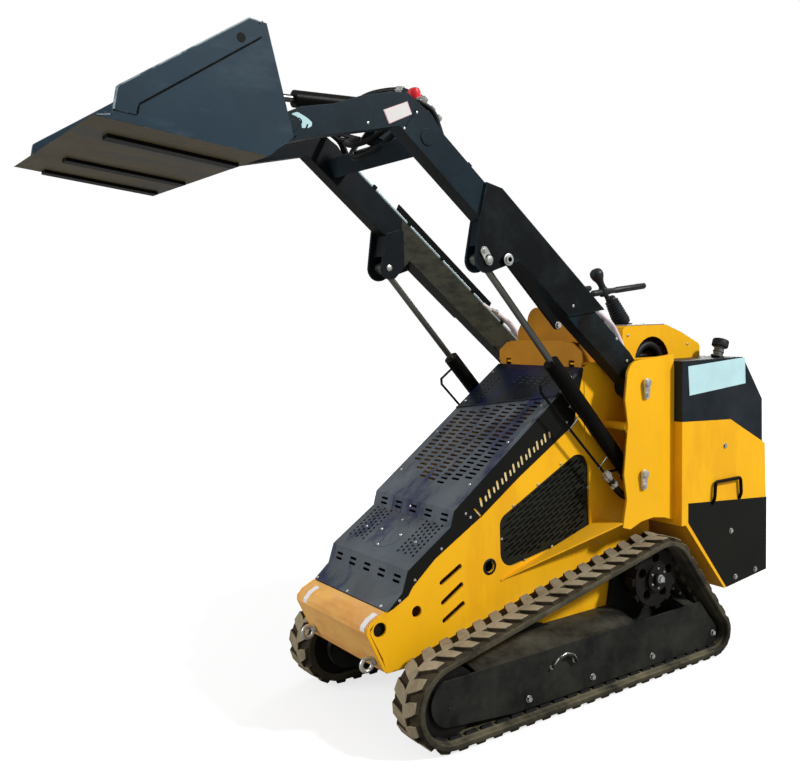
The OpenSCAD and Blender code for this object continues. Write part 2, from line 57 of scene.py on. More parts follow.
def place(p):
    """A point of the drawing in the row frame's metres."""
    return Vector(((p[0] - ORIGIN_X) / 1000, p[1] / 1000, p[2] / 1000))


def add_object(name, data):
    """A new object in the scene."""
    obj = bpy.data.objects.new(name, data)
    SCENE.collection.objects.link(obj)
    return obj


# ---------------- camera

CAMERA_AT = (2295, 2664, 1391)
CAMERA_TURN = (144.319, -5.683, -1.282)     # yaw, pitch and roll in degrees
SENSOR, LENS = 36, 41.3415
SHIFT = (-0.044125, 0.017)


def make_camera():
    """The photo's view."""
    yaw, pitch, roll = (math.radians(v) for v in CAMERA_TURN)
    forward = Vector((-math.sin(yaw) * math.cos(pitch), math.cos(yaw) * math.cos(pitch), math.sin(pitch)))
    level = forward.cross(Vector(UP)).normalized()
    upright = level.cross(forward)
    right = level * math.cos(roll) + upright * math.sin(roll)
    up = upright * math.cos(roll) - level * math.sin(roll)
    data = bpy.data.cameras.new("camera")
    obj = add_object("camera", data)
    turn = Matrix((right, up, -forward)).transposed().to_4x4()
    turn.translation = place(CAMERA_AT)
    obj.matrix_world = turn
    data.sensor_width = SENSOR
    data.lens = LENS
    data.shift_x, data.shift_y = SHIFT
    data.dof.use_dof = False
    SCENE.camera = obj


# ---------------- materials

def srgb(rgb):
    """Linear colour of an 8-bit one."""
    return tuple(c / 255 / 12.92 if c <= 10 else ((c / 255 + 0.055) / 1.055) ** 2.4 for c in rgb) + (1,)


def shaded(color, k):
    """A linear colour made darker or lighter."""
    return tuple(min(1, c * k) for c in color[:3]) + (1,)


class Net:
    """Adds nodes and links to one material."""

    def __init__(self, mat):
        mat.use_nodes = True
        self.tree = mat.node_tree
        self.tree.nodes.clear()

    def feed(self, socket, value):
        if isinstance(value, bpy.types.NodeSocket):
            self.tree.links.new(value, socket)
        else:
            socket.default_value = value

    def node(self, kind, inputs=(), **props):
        n = self.tree.nodes.new("ShaderNode" + kind)
        for key, value in props.items():
            setattr(n, key, value)
        for key, value in dict(inputs).items():
            self.feed(n.inputs[key], value)
        return n

    def math(self, op, a, b=0.0, c=0.0, clamp=False):
        return self.node("Math", {0: a, 1: b, 2: c}, operation=op, use_clamp=clamp).outputs[0]

    def times(self, a, b):
        return self.math("MULTIPLY", a, b)

    def noise(self, at, scale, detail=4, rough=0.55, stretch=None):
        if stretch:
            at = self.node("Mapping", {"Vector": at, "Scale": stretch}).outputs[0]
        settings = {"Vector": at, "Scale": scale, "Detail": detail, "Roughness": rough}
        return self.node("TexNoise", settings).outputs[0]

    def ramp(self, value, lo, hi):
        """0 at lo, 1 at hi."""
        return self.node("MapRange", {"Value": value, "From Min": lo, "From Max": hi}).outputs[0]

    def mix(self, fac, a, b):
        return self.node("Mix", {0: fac, 6: a, 7: b}, data_type="RGBA", blend_type="MIX").outputs[2]

    def split(self, vector):
        return self.node("SeparateXYZ", {0: vector}).outputs


TUBE_Z, TUBE_CLEAR = 0.958, 0.019       # the tower's spacer tube: height and the margin kept free of the painted shade, in metres


def front_walls(net, spot, facing, reach):
    """1 on faces that look forward, nearer the middle than reach and off the spacer tube: where the painted
    shade goes.
    """
    near = net.math("LESS_THAN", net.math("ABSOLUTE", spot[1]), reach)
    above = net.math("ABSOLUTE", net.math("SUBTRACT", spot[2], TUBE_Z))
    near = net.times(near, net.math("GREATER_THAN", above, TUBE_CLEAR))
    return net.times(near, net.ramp(facing[0], 0.97, 0.995))


def surface(name, color, rough=0.4, metallic=0.0, specular=0.5, shade=0.1, grain=90, bump=0.15,
            patch=2.6, dust=None, wear=None, under=None, streak=None, edge=0.0025, rough_var=0.12,
            zone=None, front_wall_shade=None):
    """Paint, metal, plastic or rubber: colour drift, grain, dust on top faces, chipped edges, streaks.

    dust and wear = (colour, amount), under = colour of faces that look down: painted shade on the yellow and
    boom paints, dust on the bucket, streak = (colour, amount, stretch), the front-wall pair = (colour,
    reach): painted shade on walls that look forward, zone = (colour, low x, high x) for a band of another
    shade on left faces: painted reflection and dust on the right arm.
    """
    mat = bpy.data.materials.new(name)
    net = Net(mat)
    coord = net.node("TexCoord").outputs
    at = coord["Object"]
    spot, facing = net.split(at), net.split(coord["Normal"])
    base = srgb(color)
    fine = net.noise(at, grain, 5, 0.6)
    drift = net.ramp(net.noise(at, patch, 3), 0.36, 0.64)
    out = net.mix(drift, shaded(base, 1 - shade), shaded(base, 1 + shade))
    # faces that look down take the under colour: painted shade on the yellow and boom paints, dust on the
    # bucket
    if under:
        low = srgb(under)
        mottled = net.mix(net.ramp(net.noise(at, 9, 5), 0.3, 0.75), low, shaded(low, 0.72))
        out = net.mix(net.ramp(facing[2], -0.45, -0.8), out, mottled)
    # painted shade: dark brown on the tower's forward walls, in the pocket between its plates
    if front_wall_shade:
        walls = front_walls(net, spot, facing, front_wall_shade[1])
        shade_amount = net.times(walls, net.ramp(net.noise(at, 6, 5), 0.1, 0.5))
        out = net.mix(shade_amount, out, srgb(front_wall_shade[0]))
    # a band of another colour on left faces, mottled by noise: painted reflection and dust on the right arm
    if zone:
        band = srgb(zone[0])
        low, high = zone[1:]
        within = net.times(net.ramp(spot[0], low, low + 0.002), net.ramp(spot[0], high, high - 0.002))
        band_noise = net.ramp(net.noise(at, 14, 6, 0.7, (1, 1, 2.6)), 0.42, 0.62)
        band_mottle = net.mix(band_noise, band, shaded(band, 0.45))
        out = net.mix(net.times(net.ramp(facing[1], 0.5, 0.8), within), out, band_mottle)
    if streak:
        lines = net.ramp(net.noise(at, 7, 6, 0.65, streak[2]), 0.5, 0.6)
        out = net.mix(net.times(lines, streak[1]), out, srgb(streak[0]))
    roughness = net.math("MULTIPLY_ADD", net.ramp(fine, 0.2, 0.8), rough_var, rough - rough_var / 2)
    if dust:
        top = net.math("MULTIPLY_ADD", net.ramp(facing[2], 0.15, 0.9), dust[1], dust[1] * 0.35)
        amount = net.times(net.ramp(net.noise(at, 5, 6, 0.7), 0.38, 0.72), top)
        out = net.mix(amount, out, srgb(dust[0]))
        roughness = net.math("ADD", roughness, net.times(amount, 0.3), clamp=True)
    bumped = net.node("Bump", {"Strength": bump, "Distance": 0.0008, "Height": fine})
    if edge:
        rounding = net.node("Bevel", {"Radius": edge}, samples=4).outputs[0]
        net.feed(bumped.inputs["Normal"], rounding)
        if wear:
            flat = net.node("NewGeometry").outputs["Normal"]
            dot = net.node("VectorMath", {0: rounding, 1: flat}, operation="DOT_PRODUCT").outputs["Value"]
            chips = net.ramp(net.noise(at, 38, 6, 0.75), 0.5, 0.62)
            worn = net.times(net.times(net.ramp(dot, 0.985, 0.9), chips), wear[1])
            out = net.mix(worn, out, srgb(wear[0]))
    shader = net.node("BsdfPrincipled", {"Base Color": out, "Roughness": roughness, "Metallic": metallic,
                                         "Specular IOR Level": specular, "Normal": bumped.outputs[0]})
    net.node("OutputMaterial", {"Surface": shader.outputs[0]})
    return mat


# under is painted shade on faces that look down
YELLOW_PAINT = dict(
    color=(248, 184, 22), rough=0.42, specular=0.15, shade=0.05, bump=0.1, under=(150, 96, 18),
    dust=((208, 152, 60), 0.3), wear=((120, 92, 50), 0.5), streak=((222, 150, 20), 0.3, (1, 1, 0.25)))
METAL = dict(patch=30, grain=180)
LABEL = dict(specular=0.3, grain=200, bump=0.05, edge=0.0003)
RUN_DOWN = (0.5, 1.1, 0.5)              # streaks that run down the hood
YELLOW = surface("yellow_paint", **YELLOW_PAINT)
# the yellow paint with painted shade on the tower's forward walls
TOWER = surface("tower_paint_shaded_pocket", front_wall_shade=((92, 52, 8), 0.357), **YELLOW_PAINT)
FRONT_YELLOW = surface(
    "front_yellow", (236, 178, 88), 0.34, specular=0.4, bump=0.12, dust=((214, 170, 116), 0.6),
    wear=((110, 84, 52), 0.6), streak=((204, 132, 54), 0.6, (1, 0.4, 1)))
# a darker copy of the yellow paint for the tower's front plates: painted shade
SHADE_YELLOW = surface(
    "deck_yellow_painted_shade", (184, 124, 28), 0.45, specular=0.15, shade=0.2, dust=((150, 112, 44), 0.5),
    wear=((110, 84, 52), 0.5))
HOOD = surface(
    "hood_paint", (74, 82, 90), 0.26, specular=0.3, shade=0.22, patch=4.5, edge=0.0007,
    dust=((104, 104, 100), 0.4), wear=((130, 130, 128), 0.4), streak=((16, 26, 66), 0.9, RUN_DOWN))
# a much darker, navy copy of the hood paint for the upper plate: painted shade and painted sky reflection
HOOD_TOP = surface(
    "hood_top_shaded_paint", (13, 18, 26), 0.26, specular=0.2, shade=0.4, patch=4, edge=0.0007,
    dust=((44, 50, 54), 0.3), wear=((120, 120, 118), 0.4), streak=((12, 20, 62), 0.95, RUN_DOWN))
FLANGE = surface(
    "flange_paint", (20, 20, 17), 0.42, specular=0.12, shade=0.15, edge=0.0007, wear=((96, 92, 84), 0.4))
# faces of the boom that look down get painted shade; its zone is a darker band on left faces from x -0.7 to
# -0.3 m
BOOM = surface(
    "boom_paint", (17, 33, 41), 0.38, specular=0.12, shade=0.2, patch=3.2, dust=((62, 72, 74), 0.2),
    wear=((104, 108, 106), 0.6), streak=((30, 47, 56), 0.45, (0.5, 1, 0.5)), under=(15, 14, 10),
    zone=((24, 25, 24), -0.7, -0.3))
# the right arm's paint: a darker copy of the boom paint as painted shade, with painted shade on faces that
# look down and a brownish band on its left faces that is painted reflection and dust
BOOM_RIGHT_SHADED = surface(
    "boom_paint_shaded_sheen_and_dust", (8, 15, 21), 0.42, specular=0.1, shade=0.2, patch=3.2, dust=((80, 80, 72), 0.25),
    wear=((104, 104, 98), 0.6), under=(15, 14, 10), zone=((58, 58, 48), -0.6, 0.04))
DOUBLER = surface(
    "doubler_paint", (13, 17, 18), specular=0.1, shade=0.15, patch=4, edge=0.001,
    wear=((96, 98, 96), 0.6), streak=((40, 44, 46), 0.4, (0.5, 1, 0.5)))
# under is tan dust on the bucket's underside
BUCKET = surface(
    "bucket_paint", (35, 54, 67), 0.42, specular=0.12, shade=0.12, patch=3.5, dust=((70, 84, 90), 0.3),
    wear=((150, 160, 166), 0.8), under=(106, 94, 70), streak=((62, 80, 92), 0.4, (0.35, 1, 1)))
BLACK = surface(
    "black_paint", (8, 8, 7), specular=0.08, shade=0.25, edge=0.0012, dust=((46, 43, 36), 0.2),
    wear=((90, 86, 78), 0.4))
MESH = surface(
    "grille_paint", (29, 30, 24), 0.45, specular=0.12, shade=0.25, edge=0.0005, dust=((70, 70, 60), 0.3))
COVER = surface(
    "track_frame_paint", (19, 21, 20), specular=0.12, shade=0.15, dust=((82, 80, 70), 0.85),
    wear=((96, 94, 86), 0.4), streak=((42, 43, 40), 0.4, (1, 1, 0.5)))
TANK = surface(
    "tank_paint", (20, 28, 36), 0.36, specular=0.15, shade=0.15, dust=((84, 86, 86), 0.5),
    wear=((100, 100, 98), 0.4))
PANEL = surface(
    "rear_panel_paint", (20, 21, 17), 0.45, specular=0.1, shade=0.12, dust=((60, 57, 48), 0.2),
    wear=((90, 86, 76), 0.4))
STEEL = surface(
    "zinc_steel", (200, 202, 198), 0.36, 0.85, shade=0.15, edge=0.0008, wear=((90, 84, 72), 0.4), **METAL)
DULL_STEEL = surface("dull_steel", (104, 104, 100), metallic=0.8, shade=0.25, edge=0.0005, **METAL)
PIPE = surface("plated_pipe", (176, 196, 200), 0.3, 0.7, patch=20, grain=180, edge=0.0005)
CHROME = surface(
    "chrome_rod", (112, 112, 108), 0.3, 1.0, shade=0.08, patch=12, grain=300, bump=0, rough_var=0.06, edge=0)
IRON = surface(
    "cast_iron", (20, 19, 17), 0.55, 0.1, specular=0.15, shade=0.3, patch=14, grain=160, bump=0.4,
    dust=((66, 58, 46), 0.4), wear=((90, 84, 72), 0.5))
RUBBER = surface(
    "track_rubber", (50, 44, 34), 0.8, specular=0.1, shade=0.35, patch=14, grain=140, bump=0.5,
    dust=((88, 76, 56), 0.4), wear=((140, 128, 104), 0.4))
LUG_TOP = surface(
    "lug_dust", (142, 130, 106), 0.85, specular=0.1, shade=0.25, patch=14, grain=120, bump=0.5, edge=0.001,
    dust=((172, 160, 136), 0.6), streak=((96, 84, 64), 0.6, (2, 2, 2)))
BELT = surface(
    "belt_rubber", (44, 42, 35), 0.72, specular=0.12, shade=0.3, patch=7, grain=140, bump=0.45,
    dust=((122, 115, 92), 0.9), wear=((96, 92, 80), 0.3), streak=((82, 74, 58), 0.5, (1, 1, 1)))
HOSE = surface(
    "hose_rubber", (17, 17, 18), 0.5, specular=0.25, shade=0.25, patch=14, grain=260, bump=0.3, edge=0.0008,
    wear=((70, 68, 62), 0.3))
SLEEVE = surface("hose_sleeve", (222, 208, 212), specular=0.3, patch=24, grain=200, edge=0.0005)
SEAL = surface("foam_seal", (226, 204, 150), 0.6, specular=0.1, shade=0.08, patch=20, grain=200, edge=0.0003)
PLASTIC = surface(
    "black_plastic", (17, 21, 25), specular=0.3, shade=0.2, patch=10, grain=220, bump=0.2, edge=0.001,
    dust=((70, 74, 78), 0.35))
RED = surface("red_cap", (226, 36, 48), specular=0.35, shade=0.12, patch=20, grain=160)
WHITE = surface("blank_label", (226, 222, 220), 0.35, shade=0.03, patch=20, **LABEL)
CYAN = surface("pale_plate", (188, 224, 228), 0.3, shade=0.05, patch=12, **LABEL)
RED_LINE = surface("label_border", (226, 168, 178), 0.35, shade=0.05, patch=20, **LABEL)
SCUFF = surface(
    "worn_edge", (150, 164, 170), 0.5, specular=0.2, shade=0.2, patch=30, grain=160, edge=0.0005,
    streak=((62, 82, 94), 0.95, (3, 3, 3)))
GREY = surface(
    "console_sheet", (150, 154, 154), 0.35, specular=0.4, patch=10, grain=180, bump=0.1,
    dust=((170, 170, 164), 0.4))

CAD_LOOKS = [
    ("frame fenders rear_body console", YELLOW), ("tower", TOWER), ("bumper", FRONT_YELLOW),
    ("tower_front", SHADE_YELLOW), ("hood tank", TANK), ("console_top", GREY),
    ("rear_panel_left rear_panel_right", PANEL),
    ("grille_left grille_right lock_bar hose_guard handle_left handle_right platform", BLACK),
    ("lift_barrel_left lift_barrel_right tilt_barrel", BLACK), ("filler_cap controls", PLASTIC),
    ("engine sprocket_left sprocket_right rollers_left rollers_right", IRON),
    ("tow_eyes base_pins couplers", STEEL), ("track_left track_right", RUBBER),
    ("track_frame_left track_frame_right", COVER), ("arm_left cross_tube hitch", BOOM),
    ("arm_right", BOOM_RIGHT_SHADED), ("boom_hoses", PIPE), ("lift_rod_left lift_rod_right tilt_rod", CHROME),
    ("bucket", BUCKET),
]


def paint_cad_nodes():
    """Better materials on the CAD nodes."""
    for names, mat in CAD_LOOKS:
        for name in names.split():
            obj = NODES[name]
            if not obj.material_slots:
                obj.data.materials.append(mat)
            for slot in obj.material_slots:
                slot.material = mat


# ---------------- mesh building

def polar(r, degrees):
    return Vector((math.cos(math.radians(degrees)), math.sin(math.radians(degrees)))) * r


def arc(c, r, a, b, n=8):
    """n + 1 points about c, from angle a to angle b in degrees."""
    return [tuple(Vector(c) + polar(r, a + (b - a) * i / n)) for i in range(n + 1)]


def circle(c, r, n=12):
    return arc(c, r, 0, 360 * (n - 1) / n, n - 1)


def slot_loop(c, length, width, angle=0, n=4):
    """A slot with round ends about c, its long way at an angle."""
    h, r = length / 2 - width / 2, width / 2
    t = math.radians(angle)
    return [(c[0] + x * math.cos(t) - y * math.sin(t), c[1] + x * math.sin(t) + y * math.cos(t))
            for x, y in arc((h, 0), r, -90, 90, n) + arc((-h, 0), r, 90, 270, n)]


def area(loop):
    return sum(a[0] * b[1] - b[0] * a[1] for a, b in zip(loop, loop[1:] + loop[:1])) / 2


def inside(p, loop):
    """Whether a point lies in a closed loop."""
    hit = False
    for a, b in zip(loop, loop[1:] + loop[:1]):
        if (a[1] > p[1]) != (b[1] > p[1]) and p[0] < (b[0] - a[0]) * (p[1] - a[1]) / (b[1] - a[1]) + a[0]:
            hit = not hit
    return hit


def side(u, v, w):
    """A side view: u forward, v up, w out to the left."""
    return (u, w, v)


def axes(o, u, v, n):
    """A map of lengths along three ways from o."""
    return lambda a, b, c: o + u * a + v * b + n * c


def axes_at(p, out):
    """A map with its third way along out, from p."""
    n = Vector(out).normalized()
    u = Vector((1, 0, 0) if abs(n.z) > 0.95 else UP).cross(n).normalized()
    return axes(Vector(p), u, n.cross(u), n)


def turned(to, r, h, n):
    """A ring of n points in a map."""
    return [to(*polar(r, 360 * i / n), h) for i in range(n)]


def rounded(pts, bend):
    """A path with its corners rounded."""
    out = [pts[0]]
    for a, b, c in zip(pts, pts[1:], pts[2:]):
        k = min(bend, (a - b).length * 0.48, (c - b).length * 0.48)
        p0, p1 = b + (a - b).normalized() * k, b + (c - b).normalized() * k
        out += [p0.lerp(b, t).lerp(b.lerp(p1, t), t) for t in (0, 0.2, 0.4, 0.6, 0.8, 1)]
    return out + [pts[-1]]


class Shape:
    """Vertices in the drawing's millimetres, and faces."""

    def __init__(self):
        self.v, self.f = [], []

    def add(self, verts, faces):
        k = len(self.v)
        self.v += [Vector(p) for p in verts]
        self.f += [[k + i for i in f] for f in faces]
        return self

    def extrude(self, outline, w0, w1, to=side, holes=()):
        """A flat plate with holes, between two heights over its plane."""
        loops = [outline if area(outline) > 0 else outline[::-1]]
        loops += [h[::-1] if area(h) > 0 else h for h in holes]
        pts, edges = [], []
        for loop in loops:
            k = len(pts)
            pts += [Vector(p) for p in loop]
            edges += [(k + i, k + (i + 1) % len(loop)) for i in range(len(loop))]
        flat, _, faces, origins, _, _ = delaunay_2d_cdt(pts, edges, [], 1, 1e-5)
        loop_of = [n for n, loop in enumerate(loops) for _ in loop]
        which = [loop_of[ids[0]] if len(ids) else 0 for ids in origins]
        # a triangle between three corners of one hole lies in that hole
        faces = [f for f in faces if not (which[f[0]] and which[f[0]] == which[f[1]] == which[f[2]])]
        self.add([to(p[0], p[1], w1) for p in flat], faces)
        self.add([to(p[0], p[1], w0) for p in flat], [list(f)[::-1] for f in faces])
        for loop in loops:
            n = len(loop)
            self.add([to(p[0], p[1], w) for w in (w0, w1) for p in loop],
                     [[i, (i + 1) % n, n + (i + 1) % n, n + i] for i in range(n)])
        return self

    def block(self, lo, hi, chamfer=2.0):
        """A box with its upright and top edges cut."""
        c = min(chamfer, *((h - l) / 2.2 for l, h in zip(lo, hi)))

        def ring(z, inset):
            x0, y0, x1, y1 = lo[0] + inset, lo[1] + inset, hi[0] - inset, hi[1] - inset
            return [(x0 + c, y0, z), (x1 - c, y0, z), (x1, y0 + c, z), (x1, y1 - c, z),
                    (x1 - c, y1, z), (x0 + c, y1, z), (x0, y1 - c, z), (x0, y0 + c, z)]

        return self.loft([ring(lo[2], c), ring(lo[2] + c, 0), ring(hi[2] - c, 0), ring(hi[2], c)])

    def loft(self, rings, closed=False):
        """Skin over rings of equal length; the ends are capped unless closed."""
        n, m = len(rings[0]), len(rings)
        faces = []
        for j in range(m if closed else m - 1):
            a, b = j * n, ((j + 1) % m) * n
            faces += [[a + i, a + (i + 1) % n, b + (i + 1) % n, b + i] for i in range(n)]
        if not closed:
            faces += [list(range(n))[::-1], [(m - 1) * n + i for i in range(n)]]
        return self.add([p for r in rings for p in r], faces)

    def lathe(self, profile, p, out, n=24):
        """Profile of (radius, height) turned about a line from p."""
        to = axes_at(p, out)
        return self.loft([turned(to, max(r, 0.05), h, n) for r, h in profile])

    def tube(self, pts, r, n=10, bend=0):
        """A round tube along points, its corners rounded to a bend radius."""
        path = [Vector(p) for p in pts]
        if bend:
            path = rounded(path, bend)
        rings, up = [], None
        for a, p, b in zip(path[:1] + path, path, path[1:] + path[-1:]):
            d = (b - a).normalized()
            if up is None:
                up = d.orthogonal()
            up = (up - d * up.dot(d)).normalized()
            rings.append(turned(axes(p, up, d.cross(up), d), r, 0, n))
        return self.loft(rings)

    def weld(self, a, b, r=2.6, step=5):
        """A rippled weld bead from a to b."""
        a, b = Vector(a), Vector(b)
        n = max(2, int((b - a).length / step))
        d = (b - a).normalized()
        up = d.orthogonal().normalized()
        rings = []
        for i in range(n + 1):
            swell = (1.12 if i % 2 else 0.86) * (0.4 if i in (0, n) else 1)
            rings.append(turned(axes(a.lerp(b, i / n), up, d.cross(up), d), r * swell, 0, 6))
        return self.loft(rings)

    def dome(self, p, out, r=6, h=4):
        """A round button head with a small recess."""
        outline = ((1, 0), (1, 0.3), (0.8, 0.8), (0.45, 1), (0.35, 1), (0.3, 0.6))
        return self.lathe([(r * a, h * b) for a, b in outline], p, out, 14)

    def side_domes(self, spots, y, r, h):
        """Button heads on the left, at x and z on the plane y."""
        for x, z in spots:
            self.dome((x, y, z), LEFT, r, h)

    def cap_bolt(self, p, out, r, h):
        """A dished hexagon head on a washer."""
        self.lathe([(r + 3, 0), (r + 3, 1.6), (r + 0.6, 1.8), (r + 0.6, h * 0.5), (r + 0.3, h)], p, out, 6)
        return self.lathe([(r + 3.4, 0), (r + 3.4, 1.2), (r, 1.4)], p, out, 18)

    def mirrored(self):
        s = Shape()
        s.v = [Vector((p.x, -p.y, p.z)) for p in self.v]
        s.f = [f[::-1] for f in self.f]
        return s

    def both(self):
        """Adds the mirror image."""
        other = self.mirrored()
        return self.add(other.v, other.f)


def make(shape, name, mat, body="chassis", replaces=(), angle=32, bevel=0):
    """Turns a shape into a piece that rides on a body."""
    mesh = bpy.data.meshes.new(name)
    mesh.from_pydata([place(p) for p in shape.v], [], shape.f)
    bm = bmesh.new()
    bm.from_mesh(mesh)
    bmesh.ops.remove_doubles(bm, verts=bm.verts, dist=2e-6)
    bmesh.ops.dissolve_degenerate(bm, edges=bm.edges, dist=1e-6)
    bmesh.ops.recalc_face_normals(bm, faces=bm.faces)
    bm.to_mesh(mesh)
    bm.free()
    mesh.shade_smooth()
    mesh.set_sharp_from_angle(angle=math.radians(angle))
    obj = add_object(name, mesh)
    mesh.materials.append(mat)
    if bevel:
        rim = obj.modifiers.new("edges", "BEVEL")
        rim.width, rim.segments, rim.limit_method, rim.angle_limit = bevel, 2, "ANGLE", math.radians(40)
    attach(obj, body)
    if replaces:
        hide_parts(*replaces)


def make_pair(shape, name, mat, replaces=""):
    """The left piece and its mirror image, in place of a pair of CAD nodes."""
    for tag, s in (("_left", shape), ("_right", shape.mirrored())):
        make(s, name + tag, mat, replaces=[replaces + tag] if replaces else ())


# ---------------- tracks

WHEELS = [((633, 157), 117), ((-669, 95), 55), ((-368, 370), 125)]    # idler, rear idler, sprocket
TRACK_IN, TRACK_OUT = 283, 433
TRACK_MID = (TRACK_IN + TRACK_OUT) / 2
BELT_T, TREAD_T = 26, 40        # thickness of the belt, and with its lugs
BELT_STEPS = 150                # sections round the loop
LUG_PITCH, GUIDE_PITCH = 72, 64
LUG_PLAN = [(-32, 422), (2, 422), (16, 400), (32, 368), (30, 350), (-4, 350), (-22, 384)]
# scale of the plan and height over the belt, of a lug's flanks and of its dusty top
LUG_FLANKS = [(1.2, -3), (1.12, 3), (1.0, 11.2), (0.97, 11.8)]
LUG_TOPS = [(0.985, 11), (0.975, 12.4), (0.93, TREAD_T - BELT_T - 0.4)]


def tangent_normal(i, j):
    """Angle at which the belt leaves wheel i for wheel j."""
    (a, ra), (b, rb) = WHEELS[i], WHEELS[j]
    heading = math.degrees(math.atan2(b[1] - a[1], b[0] - a[0]))
    return heading - math.degrees(math.asin((ra - rb) / math.dist(a, b))) + 90


def belt_path(d):
    """Closed side-view path at a distance d outside the wheels: idler, under to the rear idler, sprocket."""
    top, bottom, rear = tangent_normal(2, 0), -90.0, tangent_normal(1, 2)
    ends = [(top, bottom, 30), (bottom, rear - 360, 18), (rear, top, 24)]
    return [p for (c, r), (a, b, n) in zip(WHEELS, ends) for p in arc(c, r + d, a, b, n)]


def walk(path, s):
    """Point and unit heading at distance s along a closed path."""
    i = 0
    while True:
        a, b = Vector(path[i % len(path)]), Vector(path[(i + 1) % len(path)])
        step = (b - a).length
        if s <= step:
            return a + (b - a) * (s / max(step, 1e-9)), (b - a).normalized()
        s -= step
        i += 1


def loop_length(path):
    return sum(math.dist(a, b) for a, b in zip(path, path[1:] + path[:1]))


def add_lugs(lugs, tops):
    """Chevron blocks in two rows, half a pitch apart."""
    path = belt_path(BELT_T)
    length = loop_length(path)
    count = round(length / LUG_PITCH)
    mid_u = sum(u for u, _ in LUG_PLAN) / len(LUG_PLAN)
    mid_y = sum(y for _, y in LUG_PLAN) / len(LUG_PLAN)

    def ring(start, sign, scale, h):
        points = []
        for u, y in LUG_PLAN:
            p, t = walk(path, (start + mid_u + (u - mid_u) * scale) % length)
            across = mid_y + (y - mid_y) * scale - TRACK_MID
            points.append((p.x - t.y * h, TRACK_MID + across * sign, p.y + t.x * h))
        return points

    for i in range(count):
        for sign, shift in ((1, 0.5), (-1, 1)):
            start = (i + shift) * length / count
            lugs.loft([ring(start, sign, *level) for level in LUG_FLANKS])
            tops.loft([ring(start, sign, *level) for level in LUG_TOPS])


def add_stud(shape, p, t, y0, y1, height, half):
    """A tapered block inside the belt."""
    n = Vector((-t.y, t.x))
    rings = []
    for inset, h in ((0, 1), (1, -height)):
        u, a, b = half - 3 * inset, y0 + 2 * inset, y1 - 2 * inset
        rings.append([(p.x + t.x * c + n.x * h, y, p.y + t.y * c + n.y * h)
                      for c, y in ((-u, a), (u, a), (u, b), (-u, b))])
    shape.loft(rings)


def make_tracks():
    belt, lugs, tops, guides = (Shape() for _ in range(4))
    root = belt_path(0)
    length = loop_length(root)
    y0, y1, t = TRACK_IN, TRACK_OUT, BELT_T
    section = [(y0, 4), (y0 + 4, 0), (y1 - 22, 0), (y1 - 18, 4), (y1 - 4, 5), (y1, 9), (y1, t - 5),
               (y1 - 2, t - 1), (y1 - 6, t), (y0 + 6, t), (y0, t - 5)]
    skin = [(y, d + 0.44) for y, d in section[7:]]          # the dark face between the lugs
    stations = [walk(root, length * i / BELT_STEPS) for i in range(BELT_STEPS)]
    for shape, outline in ((belt, section), (lugs, skin)):
        shape.loft([[(p.x - h.y * d, y, p.y + h.x * d) for y, d in outline] for p, h in stations], True)
    add_lugs(lugs, tops)
    # drive lugs inside the belt, and guides that show under the cover plate's edge
    count = round(length / GUIDE_PITCH)
    for i in range(count):
        p, heading = walk(root, length * (i + 0.5) / count)
        add_stud(belt, p, heading, 338, 350, 12, 16)
        if p.y <= 60:
            add_stud(guides, p, heading, 396.5, 409, 9, 25)
    for tag in ("_left", "_right"):
        make(belt, "track_belt" + tag, BELT, replaces=["track" + tag], angle=40)
        make(lugs, "track_lugs" + tag, RUBBER, angle=25)
        make(tops, "track_lug_tops" + tag, LUG_TOP, angle=25)
        make(guides, "track_guides" + tag, HOSE)
        belt, lugs, tops, guides = (s.mirrored() for s in (belt, lugs, tops, guides))


# ---------------- undercarriage details

def make_undercarriage():
    trim = Shape()
    for x, z in ((309, 85), (6, 85), (-309, 85), (-669, 95)):
        trim.cap_bolt((x, COVER_Y, z), LEFT, 9, 9)
    # the grab on the cover, and its ends
    trim.side_domes(((98, 170), (205, 170)), COVER_Y, 9, 6)
    trim.tube([(98, 404, 172), (98, 417, 176), (110, 419, 196), (150, 420, 212), (192, 419, 196),
               (205, 417, 176), (205, 404, 172)], 4.2, 10, 10)
    # the sprocket's hub and its bolts
    hub = WHEELS[2][0]
    trim.cap_bolt((hub[0], 394, hub[1]), LEFT, 13, 10)
    trim.side_domes(arc(hub, 38, 30, 330, 5), 382, 5, 4)
    # on the dark plates
    trim.side_domes(((-560, 334), (-600, 312), (-626, 284), (-600, 256), (-640, 228), (-540, 366)), 259, 7, 5)
    make_pair(trim, "track_bolts", STEEL)
    # dark plates over the track frame, under the belt's upper run
    dark_plates = Shape()
    dark_plates.extrude([(470, 180), (470, 262), (420, 275), (140, 278), (30, 243), (-232, 243), (-232, 190)],
                  261, 264)
    dark_plates.extrude([(560, 205), (560, 236), (470, 262), (470, 205)], 261, 264)
    dark_plates.extrude([(-232, 80), (-232, 243), (-250, 440), (-330, 492), (-430, 492), (-510, 450),
                   (-730, 190), (-752, 120), (-730, 70)], 256, 259)
    make_pair(dark_plates, "frame_dark_plates", IRON)


# ---------------- hood

HOOD_LINE = [(762, 441), (703, 492), (680, 560), (503, 678), (488, 730), (458, 752), (-118, 1176)]
FLANGE_LINE = [(-66, 973), (203, 809), (363, 701), (573, 581), (664, 504), (681, 479), (737, 449)]
COMB_SEAL = [(398, 700), (380, 745), (206, 880), (40, 985), (22, 935), (203, 815), (363, 706)]
SEAL_Y, FLANGE_Y = (240.05, 240.35), (240.4, 243)       # inner and outer faces
HOOD_HALF = 241.5
TOP_HALF = HOOD_HALF - 2
MAIN = 5                        # number of the long upper panel
SHEET_IN, SHEET_OUT = 0.4, 3    # faces of the sheet over the hood's line
PLATE_OUT = 6                   # outer face of the upper cover plate
COVER_OUT = 4.2                 # outer face of the round cover

